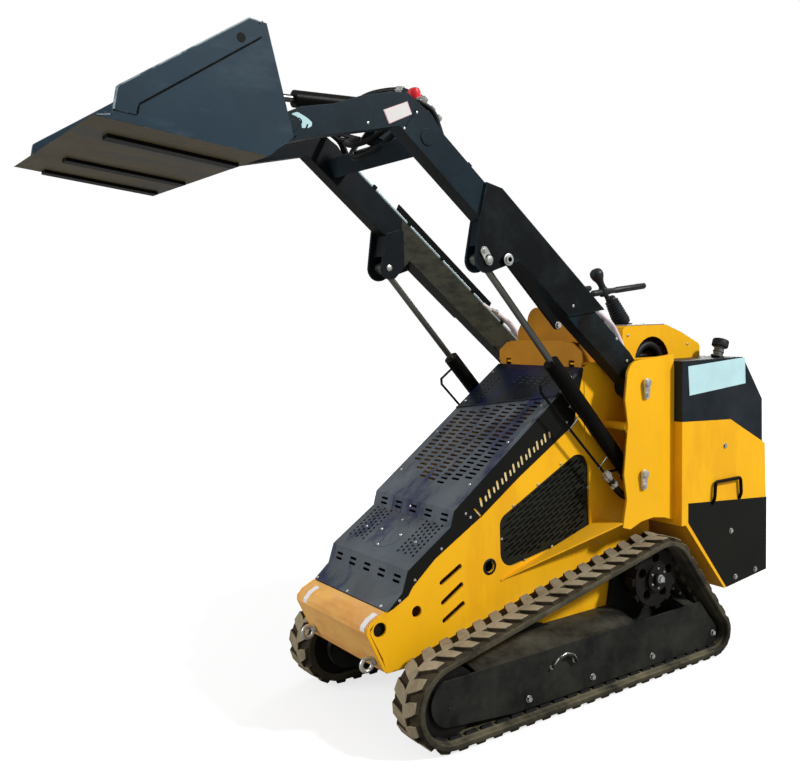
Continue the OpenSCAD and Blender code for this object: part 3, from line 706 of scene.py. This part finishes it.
# panel, height of the sheet, radius and height of the head, places across and up the panel
HOOD_BOLTS = [
    (2, COVER_OUT, 5.5, 4, [(-7, 183), (-63, 120), (56, 121), (-8, 56)]),
    (2, SHEET_OUT, 5.5, 4, [(156, 112), (-156, 112)]),
    (3, SHEET_OUT, 5.5, 4, [(-3, 33)]),
    (0, SHEET_OUT, 6, 4, [(-230, 9), (-18, 9), (195, 9)]),
    (MAIN, SHEET_OUT, 5, 3.5, [(206, 84), (206, 300), (206, 500), (-215, 84), (-215, 300)]),
    (MAIN, PLATE_OUT, 5, 3.5, [(222, 660), (-222, 660), (-222, 480)]),
]
FLANGE_BOLTS = [(545, 612), (421, 700), (655, 527), (716, 470), (441, 716), (-30, 985), (-48, 1040)]
GRILLE_BOLTS = [(-1, 834), (112, 773), (228, 712), (283, 602), (178, 509), (46, 537), (-85, 567), (-138, 730)]


def slope_map(i):
    """Map of the hood's panel i, u to the left, v up the slope and w outwards, and its length."""
    a, b = Vector(HOOD_LINE[i]), Vector(HOOD_LINE[i + 1])
    d = (b - a).normalized()
    return lambda u, v, w: (a.x + d.x * v + d.y * w, u, a.y + d.y * v - d.x * w), (b - a).length


def lip_at(u):
    """Lower edge of the upper cover plate, up the main panel."""
    return 440 + (u + 241) * 0.235


def flange_foot(x):
    """Height of the flange's lower edge."""
    for a, b in zip(FLANGE_LINE, FLANGE_LINE[1:]):
        if a[0] <= x <= b[0]:
            return b[1] + (x - b[0]) * (a[1] - b[1]) / (a[0] - b[0])


def hood_holes():
    """Louvres and holes of each panel, from the bumper up."""
    holes = [[] for _ in range(6)]
    for u in (195, 101, 8, -86, -179):
        holes[1] += [slot_loop((u, v), 42, 9) for v in (29, 47)]
        holes[3] += [slot_loop((u + 4, v), 42, 8) for v in (18, 36)]
    for column in range(5):
        for row in range(9):
            v = 60 + 18.4 * row + 9 * (column % 2)
            for u in (112 + 22.5 * column, -112 - 22.5 * column):
                if v < 212 and math.dist((abs(u), v), (156, 112)) > 13:
                    holes[2].append(circle((u, v), 6, 10))
    for column, first in enumerate((112, 84, 66, 62, 76, 100, 150)):
        u, v = 172 - 59 * column, first + 10.5 * (column % 2)
        while v < lip_at(u) - 22:
            holes[MAIN].append(slot_loop((u, v), 43, 10))
            v += 21
    return holes


def hood_sheet():
    s, w = Shape(), HOOD_HALF
    for i, holes in enumerate(hood_holes()):
        to, length = slope_map(i)
        s.extrude([(-w, 0), (w, 0), (w, length), (-w, length)], SHEET_IN, SHEET_OUT, to, holes)
        if i < MAIN:
            # fold between two panels
            after, _ = slope_map(i + 1)
            fold = to(0, length, SHEET_OUT), after(0, 0, SHEET_OUT), to(0, length, SHEET_IN)
            s.loft([[(x, y, z) for x, _, z in fold] for y in (-w, w)])
    return s


def hood_flanges():
    """Side flanges with a comb of slots, a long and a short one by turns."""
    comb = []
    for k in range(9):
        x = 372 - 37.2 * k
        comb.append(slot_loop((x, flange_foot(x) + 50), 36, 11.5, 77))
        comb.append(slot_loop((x - 21.6, flange_foot(x - 21.6) + 46), 25, 11.5, 77))
    comb.append(slot_loop((387, 711), 46, 8, 47))
    return Shape().extrude(HOOD_LINE + FLANGE_LINE, *FLANGE_Y, side, comb).both()


def hood_top_plate():
    """Upper cover plate with a folded lip."""
    to, _ = slope_map(MAIN)
    w = TOP_HALF
    holes = [slot_loop((u, v), 30, 8) for u in (150, 110, 70, 30, -10, -50) for v in (612, 629, 646)]
    holes += [circle((u, v), 5, 8) for u in (-150, -176, -202) for v in range(470, 640, 22)]
    outline = [(-w, lip_at(-w)), (w, lip_at(w)), (w, 714), (-w, 714)]
    s = Shape().extrude(outline, SHEET_OUT, PLATE_OUT, to, holes)
    s.tube([to(-w, lip_at(-w), 5.5), to(w, lip_at(w), 5.5)], 4, 10)
    return s.tube([to(w - 2, lip_at(w), 5.5), to(w - 2, 712, 5.5)], 3, 8)


def make_hood():
    make(Shape().extrude(COMB_SEAL, *SEAL_Y).both(), "comb_seal", SEAL)
    make(hood_sheet(), "hood_sheet", HOOD, replaces=["hood"])
    make(hood_flanges(), "hood_flanges", FLANGE)
    make(hood_top_plate(), "hood_top_plate", HOOD_TOP)
    # round inspection cover on a lower panel, and a bead beside the louvres
    covers, shade_liner = Shape(), Shape()
    low_panel, _ = slope_map(2)
    covers.extrude(circle((-2, 118), 70, 48), SHEET_OUT, COVER_OUT, low_panel)
    main, _ = slope_map(MAIN)
    covers.tube([main(228, 20, 3.4), main(228, 548, 3.4)], 2.2, 8)
    make(covers, "hood_covers", HOOD)
    # dark sheet under the louvred panels, so the holes show dark: painted shade
    for i in range(4):
        to, length = slope_map(i)
        shade_liner.extrude([(-226, 4), (226, 4), (226, length - 4), (-226, length - 4)], -24, -22, to)
    make(shade_liner, "hood_shade_liner", IRON)


def make_hood_bolts():
    bolts = Shape()
    bolts.side_domes(FLANGE_BOLTS, FLANGE_Y[1], 5.5, 3.5)
    bolts.side_domes(GRILLE_BOLTS, SIDE_Y, 5, 4)
    bolts.both()
    for panel, height, r, h, spots in HOOD_BOLTS:
        to, _ = slope_map(panel)
        out = Vector(to(0, 0, 1)) - Vector(to(0, 0, 0))
        for u, v in spots:
            bolts.dome(to(u, v, height), out, r, h)
    make(bolts, "hood_bolts", STEEL)


# ---------------- grilles

GRILLE_TURN = -27               # slope of the rows of slots, in degrees
GRILLE_MID = Vector((70, 670))
MESH_Y, CORE_Y = (229.2, 231.6), (205, 207)     # inner and outer faces of the grille and of the radiator


def grille_outline(g):
    """Grille opening with round corners, grown by g."""
    return (arc((-85, 800), 60 + g, 180, 60, 10) + arc((248, 648), 42 + g, 60, 0, 6)
            + arc((235, 552), 54 + g, 0, -100, 10) + arc((-106, 596), 42 + g, -100, -180, 8))


def make_grilles():
    border = grille_outline(-12)
    holes = []
    along, up = polar(1, GRILLE_TURN), polar(1, GRILLE_TURN + 90)
    for row in range(-19, 20):
        for column in range(-7, 8):
            p = GRILLE_MID + along * (column * 58 + 29 * (row % 2)) + up * (row * 14.5)
            # a shorter slot where the long one would cross the border
            fits = [loop for loop in (slot_loop(p, length, 7.5, GRILLE_TURN, 3) for length in (51, 22))
                    if all(inside(q, border) for q in loop)]
            holes += fits[:1]
    mesh = Shape().extrude(grille_outline(12), *MESH_Y, side, holes)
    make_pair(mesh, "grille_mesh", MESH, "grille")
    make_pair(Shape().extrude(grille_outline(4), *CORE_Y), "radiator_core", IRON)


# ---------------- frame, bumper, tower, tank

BUMPER_SIDE = [(767, 434), (812, 412), (828, 398), (830, 384), (776, 262), (770, 245),
               (778, 245), (784, 258), (840, 382), (838, 400), (818, 420), (769, 443)]
FOLD = [(788, 434), (818, 420), (838, 400), (839.4, 387)]       # the bumper's outer fold
PLATE = [(-513, 1169), (-862, 1188), (-867, 1083), (-522, 1057)]
PIN_PLATES = [(-318, 1101), (-305, 761)]                        # boom pin, lift cylinder's pin


def keeper(s, x, z, y):
    """Lock plate with the pin's domed end at the top and its bolt at the bottom."""
    s.extrude(arc((x, z + 17), 17, 0, 180, 10) + arc((x, z - 26), 11, 180, 360, 8), y, y + 6)
    s.lathe([(15.5, 0), (15.5, 5), (13, 8.5), (7, 10), (2, 10.3)], (x, y + 5.5, z + 17), LEFT, 24)
    s.cap_bolt((x, y + 6, z - 27), LEFT, 6, 6)


def offset(line, d):
    """An open line moved sideways."""
    pts = [Vector(p) for p in line]
    out = []
    for i, p in enumerate(pts):
        way = (pts[min(len(pts) - 1, i + 1)] - pts[max(0, i - 1)]).normalized()
        out.append((p.x - way.y * d, p.y + way.x * d))
    return out


def make_frame_trim():
    beads, fittings, labels = Shape(), Shape(), Shape()
    for sign in SIDES:
        y = (SIDE_Y + 0.5) * sign
        beads.weld((288, y, 452), (-196, y, 597))
        beads.weld((-124, y, 866), (-124, y, 1140))
        beads.weld((-480, 359 * sign, 640), (-480, 359 * sign, 1180))
        # corner between the bumper and the side plate's nose
        beads.extrude(BUMPER_SIDE, 233.6 * sign, 239.7 * sign)
    make(beads, "weld_beads", YELLOW)
    for x, z in PIN_PLATES:
        keeper(fittings, x, z, 368)
    for x, z in ((-782, 492), (-813, 297), (-945, 304)):
        fittings.cap_bolt((x, REAR_Y + 2, z), LEFT, 8, 6)
    fittings.cap_bolt((-742, REAR_Y, 842), LEFT, 8, 6)
    fittings.dome((-187, SIDE_Y + 0.5, 510), LEFT, 5, 4)
    # shank and washer behind each tow eye
    fittings.lathe([(17, 0), (17, 3), (10, 4), (10, 9)], (797, 200, 278), (1, 0, -0.35), 20)
    make(fittings.both(), "chassis_fittings", STEEL)
    # blank labels over the bumper's fold, and a blank plate on the tank
    loop = offset(FOLD, 0.4) + offset(FOLD, 1.0)[::-1]
    for ends in ((196, 222), (-188, -162)):
        labels.loft([[(x, y, z) for x, z in loop] for y in ends])
    make(labels, "bumper_labels", WHITE)
    make(Shape().extrude(PLATE, REAR_Y + 0.4, REAR_Y + 2).both(), "tank_plates", CYAN)


def make_hole_trim():
    """Rubber grommets in the frame's round holes, and a dark disc inside the hole by the bumper: painted
    shade.
    """
    grommets = Shape()
    to = axes_at((338, SIDE_Y + 0.2, 513), LEFT)
    section = ((20, -8), (20, 1.4), (22, 2.2), (27, 1.8), (29.5, 0.2), (29.5, -0.1), (19.5, -8))
    grommets.loft([turned(to, r, h, 32) for r, h in section], True)
    make(grommets.both(), "frame_grommets", HOSE)
    make(Shape().extrude(circle((792, 389), 29, 24), 224, 226).both(), "frame_hole_shade_discs", IRON)


def make_tank_cap():
    base = Vector((-780, 330, 1190))
    lean = Vector((math.sin(math.radians(-20)), 0, math.cos(math.radians(-20))))
    neck = Shape().lathe([(27, 0), (27, 6), (22, 9), (20, 12), (20, 20), (22, 21), (22, 25), (20, 26),
                          (20, 38), (23, 40), (23, 44)], base, lean, 28)
    make(neck, "tank_neck", DULL_STEEL)
    to = axes_at(base + lean * 42, lean)
    rings = []
    for r, h in ((28, 0), (33, 3), (33, 25), (31, 30), (27, 32), (16, 33), (15, 31)):
        # the rim is fluted, its ends are not
        flute = 1.8 if 0 < h < 30 else 0
        rings.append([to(*polar(r - flute * (i % 2), 7.5 * i), h) for i in range(48)])
    make(Shape().loft(rings), "tank_cap", PLASTIC, replaces=["filler_cap"])


def make_handles():
    """U-shaped handles above the lower rear panels."""
    for sign, tag in ((1, "left"), (-1, "right")):
        y0, y1 = (REAR_Y + 1) * sign, (REAR_Y + 12) * sign
        grab = Shape().tube([(-664, y0, 618), (-664, y1, 640), (-669, y1, 706), (-827, y1, 706),
                             (-833, y1, 640), (-833, y0, 618)], 7, 12, 14)
        make(grab, "side_handle_" + tag, BLACK, replaces=["handle_" + tag])


TREAD_X = (-1059.8, -1062.2)            # foot and top of the platform's raised pattern


def make_platform_tread():
    """Raised pattern on the folded platform."""
    tread = Shape()
    for row in range(9):
        for column in range(12):
            u, z = -198 + column * 36 + 18 * (row % 2), 286 + row * 34
            turn = 45 if (row + column) % 2 else -45
            if abs(u) < 206:
                tread.extrude(slot_loop((u, z), 22, 7, turn), *TREAD_X, lambda a, b, w: (w, a, b))
    make(tread, "platform_tread", BLACK, "platform")


# ---------------- console and controls

TOP_Z = 1330                    # the console's top


def make_sticks():
    sticks, bellows, rings = Shape(), Shape(), Shape()
    for y in (150, -150):
        foot, neck = Vector((-424, y, TOP_Z)), Vector((-350, y, 1424))
        d = (neck - foot).normalized()
        length = (neck - foot).length
        rings.lathe([(40, 0), (40, 4), (36, 6), (30, 7)], foot, UP, 30)
        folds = [(33, 0), (33, 8)]
        for k in range(9):
            r, h = 34 - k, 10 + (length - 18) * k / 9
            folds += [(r, h), (r + 1, h + 3), (r - 7, h + 7.5)]
        folds += [(20, length - 6), (19, length), (13, length + 4)]
        bellows.lathe(folds, foot + Vector((0, 0, 6)), (d + Vector((0, 0, 0.12))).normalized(), 30)
        sticks.tube([neck - d * 6, (-322, y, 1462), (-305, y, 1492)], 9.5, 14, 12)
        grip, tip = Vector((-318, y, 1470)), Vector((-284, y, 1524))
        sticks.lathe([(10, 0), (14, 4), (13, 14), (13.5, 26), (17, 38), (23, 50), (26, 62), (25.5, 70),
                      (22, 79), (14, 85), (4, 87)], grip, tip - grip, 24)
        # cross bar with its collar
        front, rear = Vector((-256, y, 1451)), Vector((-554, y, 1482))
        total = (rear - front).length
        sticks.lathe([(3, 0), (9, 2), (12, 6), (12.5, 10), (12.5, 96), (11, 100), (11, 130), (12.5, 134),
                      (12.5, total - 8), (11, total - 3), (4, total)], front, rear - front, 20)
        sticks.lathe([(16, -16), (18, -12), (18, 12), (16, 16)], (-320, y, 1458.5), (0.35, 0, 1), 16)
    make(sticks, "control_sticks", PLASTIC, replaces=["controls"])
    make(bellows, "stick_bellows", PLASTIC, angle=50)
    make(rings, "stick_base_rings", BLACK)


def make_console():
    sheet = Shape().block((-568, -241, TOP_Z - 3.9), (-349, 241, TOP_Z), 1.2)
    make(sheet, "console_cover", GREY, replaces=["console_top"])
    # instrument panel with three caps and two dials
    dash, screws, loops = Shape(), Shape(), Shape()
    dash.block((-548, -70, TOP_Z), (-372, 70, TOP_Z + 5), 3)
    for x in (-520, -460, -400):
        dash.lathe([(13, 0), (13, 5), (11, 7), (4, 7.5)], (x, 0, TOP_Z + 4), UP, 20)
    for y in (42, -42):
        dash.lathe([(30, 0), (30, 3), (27, 5), (26, 3.4)], (-500, y, TOP_Z + 5), UP, 28)
    make(dash, "instrument_panel", PLASTIC)
    for x in (-555, -362):
        screws.dome((x, 146, TOP_Z), UP, 5, 3)
    screws.side_domes(((-352, 1290), (-352, 1215), (-700, 1245), (-765, 1150), (-765, 1000)), 245, 6, 4)
    make(screws.both(), "console_screws", STEEL)
    # hoses behind the console's side openings
    for sign in SIDES:
        for reach, dx in ((222, 0), (188, 26)):
            y = reach * sign
            loops.tube([(-556 - dx, y, 1090), (-566 - dx, y, 1180), (-540 - dx, y, 1236),
                        (-488, y, 1256 - dx / 2), (-436 + dx, y, 1236), (-410 + dx, y, 1190),
                        (-404 + dx, y, 1110)], 15, 14, 30)
        loops.tube([(-410, 190 * sign, 1130), (-440, 200 * sign, 1205), (-500, 200 * sign, 1210),
                    (-556, 190 * sign, 1150)], 9, 10, 26)
    make(loops, "console_hoses", HOSE)


# ---------------- boom

ALONG, ACROSS = polar(1, BEAM_TURN), polar(1, BEAM_TURN + 90)
BEAM_H = 100
BEAM_FOOT = 1336                        # height of the beam's lower edge over x 0
EAR = Vector((406, 1571))               # lock plate at the lift cylinder's upper pin
EAR_TURN = 58
DOUBLER_TOP = 27                        # height of the doubler's ridge over the beam
LABEL_Y = 323.4
GOOSE_LABEL = [(779, 1992), (692, 2026), (676, 1990), (760, 1953)]
ARM_LABEL = [(1083, 1944), (1079, 1950), (1066, 1955), (1058, 1954), (1030, 1941), (1018, 1931), (1020, 1921),
             (1031, 1915), (1073, 1911), (1078, 1917)]
COUPLER_WAY = (0.25, 0.05, 1)
PIPES_Y = (274, 292)
# hoses over the tilt cylinder, and hoses behind the cross tube
ARCHES = [
    [(586, 234, 2040), (594, 222, 2074), (608, 176, 2100), (632, 116, 2107), (660, 58, 2104),
     (690, 18, 2084)],
    [(586, 262, 2040), (572, 226, 2072), (562, 160, 2092), (548, 96, 2094), (540, 36, 2086)],
]
HANGING = [
    [(622, 70, 1985), (664, 40, 1955), (706, 10, 1942), (700, -40, 1960), (640, -70, 1985)],
    [(600, 110, 1975), (650, 70, 1925), (690, 10, 1902), (670, -60, 1925), (610, -110, 1975)],
]
CLAMP_Y = (264, 302)


def low(x):
    """The beam's lower edge at x."""
    return Vector((x, BEAM_FOOT + x * ALONG.y / ALONG.x))


def top_of(x):
    """The beam's upper edge at x."""
    return low(x) + Vector((0, BEAM_H / ALONG.x))


def make_boom_fittings():
    steel, beads = Shape(), Shape()
    # lock plate at the lift cylinder's pin, tilted along the ear
    u = polar(1, EAR_TURN)
    steel.extrude(slot_loop(EAR, 66, 30, EAR_TURN, 8), DOUBLER_Y, DOUBLER_Y + 6)
    pin, screw = EAR - u * 14, EAR + u * 19
    steel.lathe([(14, 0), (14, 5), (11, 8), (5, 9)], (pin.x, DOUBLER_Y + 5.5, pin.y), LEFT, 22)
    steel.cap_bolt((screw.x, DOUBLER_Y + 6, screw.y), LEFT, 6, 6)
    steel.lathe([(12, 0), (12, 3), (9, 4.5), (3, 5)], (400, 252, 1563), (0, -1, 0), 20)
    # hitch pin's lock, and the screws of the arm and the doubler
    steel.dome((1085, ARM_Y, 1915), LEFT, 11, 6)
    steel.side_domes(((705, 1946), (658, 1997), (833, 1949)), ARM_Y, 4.5, 2.5)
    steel.side_domes(((-207, 1283), (-262, 1200)), ARM_Y, 6, 4)
    steel.dome((20, DOUBLER_Y, 1405), LEFT, 6, 4)
    steel.both()
    # pins of the lock bar, on the left only
    for x, z in ((322, 1560), (104, 1340)):
        steel.cap_bolt((x, 344, z), LEFT, 9, 9)
    steel.lathe([(20, 0), (20, 3), (15, 4), (14, 9)], (322, 344, 1560), LEFT, 24)
    make(steel, "boom_fittings", STEEL, "boom")
    # mitre weld, and the weld at the doubler's front edge
    start, end = top_of(398) + Vector((1, -6)), low(428) + Vector((1, 0))
    for sign in SIDES:
        beads.weld((706, 322.4 * sign, 1944), (655, 322.4 * sign, 2010), 2.4, 5)
        beads.weld((start.x, 323 * sign, start.y), (end.x, 323 * sign, end.y), 3, 5)
    make(beads, "boom_weld_beads", BOOM, "boom")


def make_doubler_skins():
    """Dark outer skin on the doubler plates."""
    outline = [top_of(-112) + ACROSS * DOUBLER_TOP, top_of(350) + ACROSS * DOUBLER_TOP, top_of(393) + ACROSS,
               low(428) + Vector((-2, -1))]
    outline += arc((400, 1563), 44, 12, -122, 10) + [low(262) + Vector((2, 5)), low(40) + Vector((4, 4))]
    skins = Shape().extrude(outline, DOUBLER_Y - 0.6, DOUBLER_Y + 0.5)
    make(skins.both(), "doubler_skins", DOUBLER, "boom")


def make_labels():
    """Blank labels on the left gooseneck and at the arm's end."""
    quad = [Vector(p) for p in GOOSE_LABEL]
    mid = sum(quad, Vector((0, 0))) / 4
    face = [mid + (p - mid) * 0.94 for p in quad]
    mark = Shape().extrude(circle((1060, 1930), 10.5, 18), LABEL_Y - 0.1, LABEL_Y + 0.4, side,
                           [circle((1060, 1931), 6, 14)])
    mark.extrude([(1040, 1914.5), (1034, 1926), (1030, 1925), (1034, 1914.5)], LABEL_Y - 0.1, LABEL_Y + 0.4)
    make(mark, "tie_down_mark", BLACK, "boom")
    make(Shape().extrude(GOOSE_LABEL, 322.3, 323), "label_border", RED_LINE, "boom")
    make(Shape().extrude(face, 322.6, 323.5), "label_face", WHITE, "boom")
    make(Shape().extrude(ARM_LABEL, LABEL_Y - 0.6, LABEL_Y), "tie_down_label", CYAN, "boom")


def make_couplers():
    couple = Shape()
    for y in (234, 262):
        couple.lathe([(11, 0), (11, 14), (15, 15), (15, 34), (12, 36), (12, 52), (16, 53), (16, 66),
                      (13, 68)], (586, y, 1996), COUPLER_WAY, 20)
    couple.block((566, 222, 1975), (612, 282, 2004), 4)
    for x, z in ((604, 2046), (577, 2020), (552, 1996)):
        couple.lathe([(10, -9), (12, -8), (12, 8), (10, 9)], (x, 285, z), (-ALONG.x, 0, -ALONG.y), 6)
    make(couple, "quick_couplers", STEEL, "boom", ["couplers"])
    cap = Shape().lathe([(15, 0), (19, 2), (20, 14), (21, 26), (18, 36), (10, 41), (2, 42)], (604, 240, 2052),
                        COUPLER_WAY, 24)
    make(cap, "coupler_cap", RED, "boom")


def make_hose_ferrules():
    ferrules = Shape()
    ferrules.lathe([(10, 0), (12, 2), (12, 14), (13.5, 15), (13.5, 24), (11, 26), (11, 36), (9, 38)],
                   (607, 180, 2099), (0.3, -1, 0.08), 6)
    for sign in SIDES:
        for reach in PIPES_Y:
            ferrules.lathe([(9, 0), (11, 1), (11, 24), (13, 25), (13, 36), (10, 38)],
                           (-104, reach * sign, 1400), (-0.92, 0, -0.39), 6)
    make(ferrules, "hose_ferrules", STEEL, "boom")


def make_boom_hoses():
    hoses, sleeves = Shape(), Shape()
    for sign in SIDES:
        for k, reach in enumerate(PIPES_Y):
            y = reach * sign
            # from the couplers over the elbow to the beam's pipes
            hoses.tube([(540, y, top_of(540).y + 9), (572, y, 2012 + 4 * k),
                        (612, (reach - 6) * sign, 2044 - 6 * k), (640, (reach - 22) * sign, 2042),
                        (640, 150 * sign, 2010 - 20 * k), (622, 70 * sign, 1985)], 8, 12, 36)
            # from the beams' lower ends down into the tower
            sleeves.tube([(-60, y, 1425), (-104, y, 1400), (-137, y, 1386), (-175, y, 1364), (-222, y, 1333),
                          (-264, y, 1269), (-286, y, 1216), (-308, (reach - 4) * sign, 1186),
                          (-326, (reach - 12) * sign, 1150)], 8, 12, 24)
    for route in ARCHES + HANGING:
        hoses.tube(route, 9, 12, 30)
    make(hoses, "boom_hose_loops", HOSE, "boom")
    make(sleeves, "boom_lower_hoses", SLEEVE, "boom")


def make_pipe_clamps():
    clamps = Shape()
    for x in (-150, 0, 150, 300, 450):
        c, half, rise = top_of(x), ALONG * 9, ACROSS * 18
        clamps.extrude([c - half, c + half, c + half + rise, c - half + rise], *CLAMP_Y)
    make(clamps.both(), "pipe_clamps", BLACK, "boom", bevel=0.0012)


# ---------------- lift cylinders

BARREL_FOOT = Vector((-308, 761))
BARREL_WAY = Vector((0.6618, 0.7497))
HOSE_WAY = (-0.68, 0, -0.73)


def barrel_point(along, out):
    """A point so far along the lift barrel and so far below its line."""
    return BARREL_FOOT + BARREL_WAY * along + Vector((BARREL_WAY.y, -BARREL_WAY.x)) * out


def make_cylinder_hoses():
    for sign, tag in ((1, "left"), (-1, "right")):
        feet, links, stays = Shape(), Shape(), Shape()
        for x, z, y in ((-140, 801, 330), (-152, 789, 308)):
            feet.lathe([(8, 0), (10, 1), (10, 12), (13, 13), (13, 27), (9, 29), (9, 42)], (x, y * sign, z),
                       HOSE_WAY, 6)
            feet.lathe([(9, 0), (12, 1), (12, 16), (9, 18)], (x - 42, y * sign, z - 46), HOSE_WAY, 6)
            links.tube([(x - 20, y * sign, z - 22), (x - 76, (y - 2) * sign, z - 82),
                        (x - 118, (y - 6) * sign, z - 108), (x - 165, (y - 10) * sign, z - 112)], 8, 12, 24)
        # thin stays that hold the hard pipe off the barrel
        for along, out in ((360, 106), (145, 96)):
            a, b = barrel_point(along, 34), barrel_point(along, out)
            mid = (a + b) / 2
            stays.tube([(a.x, LIFT_Y * sign, a.y), (mid.x, (LIFT_Y + 1) * sign, mid.y),
                        (b.x, LIFT_Y * sign, b.y)], 3.2, 8, 4)
        body = "lift_barrel_" + tag
        make(feet, "cylinder_hose_ends_" + tag, STEEL, body)
        make(stays, "barrel_stays_" + tag, DULL_STEEL, body)
        make(links, "cylinder_hoses_" + tag, HOSE, body)


# ---------------- bucket

STRIP = [(1224.5, 1811), (1573.4, 1858.2), (1574.6, 1848.2), (1575, 1847.6), (1225.4, 1800.6),
         (1224.9, 1801.4)]
STRIP_HALF = 22.8


def make_bucket_trim():
    beads, shadow_seams, scuffs, strips = (Shape() for _ in range(4))
    for sign in SIDES:
        y = (BUCKET_Y + 0.2) * sign
        # black weld beads below the worn edge, as dark as the shadow line there: painted shadow
        shadow_seams.weld((1541, y, 1903.5), (1213, y, 2108), 2.3, 6)
        shadow_seams.weld((1547, y, 1878), (1541, y, 1903), 2.3, 6)
        beads.weld((1625, 419 * sign, 1877), (1215, 419 * sign, 1822), 3.2, 6)
        beads.weld((1160, 419 * sign, 1868), (1214, 419 * sign, 2130), 3.2, 6)
        y = (BUCKET_Y - 0.4) * sign
        scuffs.tube([(1602, y, 1886), (1590.6, y, 1939.2), (1246, y, 2149.4), (1214, y, 2144)], 2.2, 6, 6)
        scuffs.tube([(1640, 423 * sign, 1870), (1608, 423 * sign, 1874)], 1.5, 6)
    make(beads, "bucket_weld_beads", BUCKET, "bucket")
    make(shadow_seams, "bucket_seams_painted_shadow", BLACK, "bucket")
    make(scuffs, "bucket_worn_edges", SCUFF, "bucket")
    plugs = Shape().extrude(circle((1271, 2098), 12, 24), BUCKET_Y + 0.1, BUCKET_Y + 0.8).both()
    make(plugs, "bucket_hole_plugs", BLACK, "bucket")
    for y in (-392, -142, 256):
        strips.extrude(STRIP, y - STRIP_HALF, y + STRIP_HALF)
    make(strips, "wear_strips", BLACK, "bucket")


# ---------------- floor, light, world

FLOOR_HALF, FLOOR_GREY = 30, 0.34
GLOW_REACH, GLOW_LEVEL = (1.6, 3.4), (0.74, 0.98)       # the floor's glow grows with distance
# where to stand, where to aim, size and power
LAMPS = {
    "key": ((-6.3, 10.8, 10.0), (0, 0, 0.8), 1.5, 2120),
    "fill": ((6.5, -2.4, 3.6), (0.4, 0, 0.8), 4.5, 300),
    "rim": ((-5.5, -4.5, 4.0), (0, 0, 0.8), 3.0, 130),
}
AMBIENT = 0.38                  # the world's strength for all but the camera


def make_floor():
    """A grey floor that takes the shadow, with a glow that only the camera sees."""
    h = FLOOR_HALF
    mesh = bpy.data.meshes.new("floor")
    mesh.from_pydata([(-h, -h, 0), (h, -h, 0), (h, h, 0), (-h, h, 0)], [], [(0, 1, 2, 3)])
    floor = add_object("floor", mesh)
    mat = bpy.data.materials.new("floor")
    net = Net(mat)
    seen = net.node("LightPath").outputs["Is Camera Ray"]
    diffuse = net.node("BsdfDiffuse", {"Color": (FLOOR_GREY, FLOOR_GREY, FLOOR_GREY, 1)})
    at = net.node("TexCoord").outputs["Object"]
    away = net.node("VectorMath", {0: at}, operation="LENGTH").outputs["Value"]
    level = net.node("MapRange", {"Value": away, "From Min": GLOW_REACH[0], "From Max": GLOW_REACH[1],
                                  "To Min": GLOW_LEVEL[0], "To Max": GLOW_LEVEL[1]}).outputs[0]
    glow = net.node("Emission", {"Color": (1, 1, 1, 1), "Strength": net.times(seen, level)})
    both = net.node("AddShader", {0: diffuse.outputs[0], 1: glow.outputs[0]})
    net.node("OutputMaterial", {"Surface": both.outputs[0]})
    mesh.materials.append(mat)


def make_lamps():
    for name, (at, to, size, power) in LAMPS.items():
        data = bpy.data.lights.new(name, "AREA")
        data.shape, data.size, data.energy = "DISK", size, power
        obj = add_object(name, data)
        obj.location = at
        obj.rotation_euler = (Vector(to) - Vector(at)).to_track_quat("-Z", "Y").to_euler()


def make_world():
    """White for the camera, dimmer for the light it gives."""
    world = bpy.data.worlds.new("studio")
    SCENE.world = world
    net = Net(world)
    seen = net.node("LightPath").outputs["Is Camera Ray"]
    strength = net.math("MULTIPLY_ADD", seen, 1 - AMBIENT, AMBIENT)
    back = net.node("Background", {"Color": (1, 1, 1, 1), "Strength": strength})
    net.node("OutputWorld", {"Surface": back.outputs[0]})


make_camera()
paint_cad_nodes()
make_tracks()
make_hood()
make_grilles()
make_hood_bolts()
make_undercarriage()
make_frame_trim()
make_tank_cap()
make_sticks()
make_console()
make_handles()
make_platform_tread()
make_boom_fittings()
make_doubler_skins()
make_labels()
make_couplers()
make_hose_ferrules()
make_cylinder_hoses()
make_hole_trim()
make_boom_hoses()
make_pipe_clamps()
make_bucket_trim()
make_floor()
make_lamps()
make_world()

SCENE.view_settings.view_transform = "Standard"
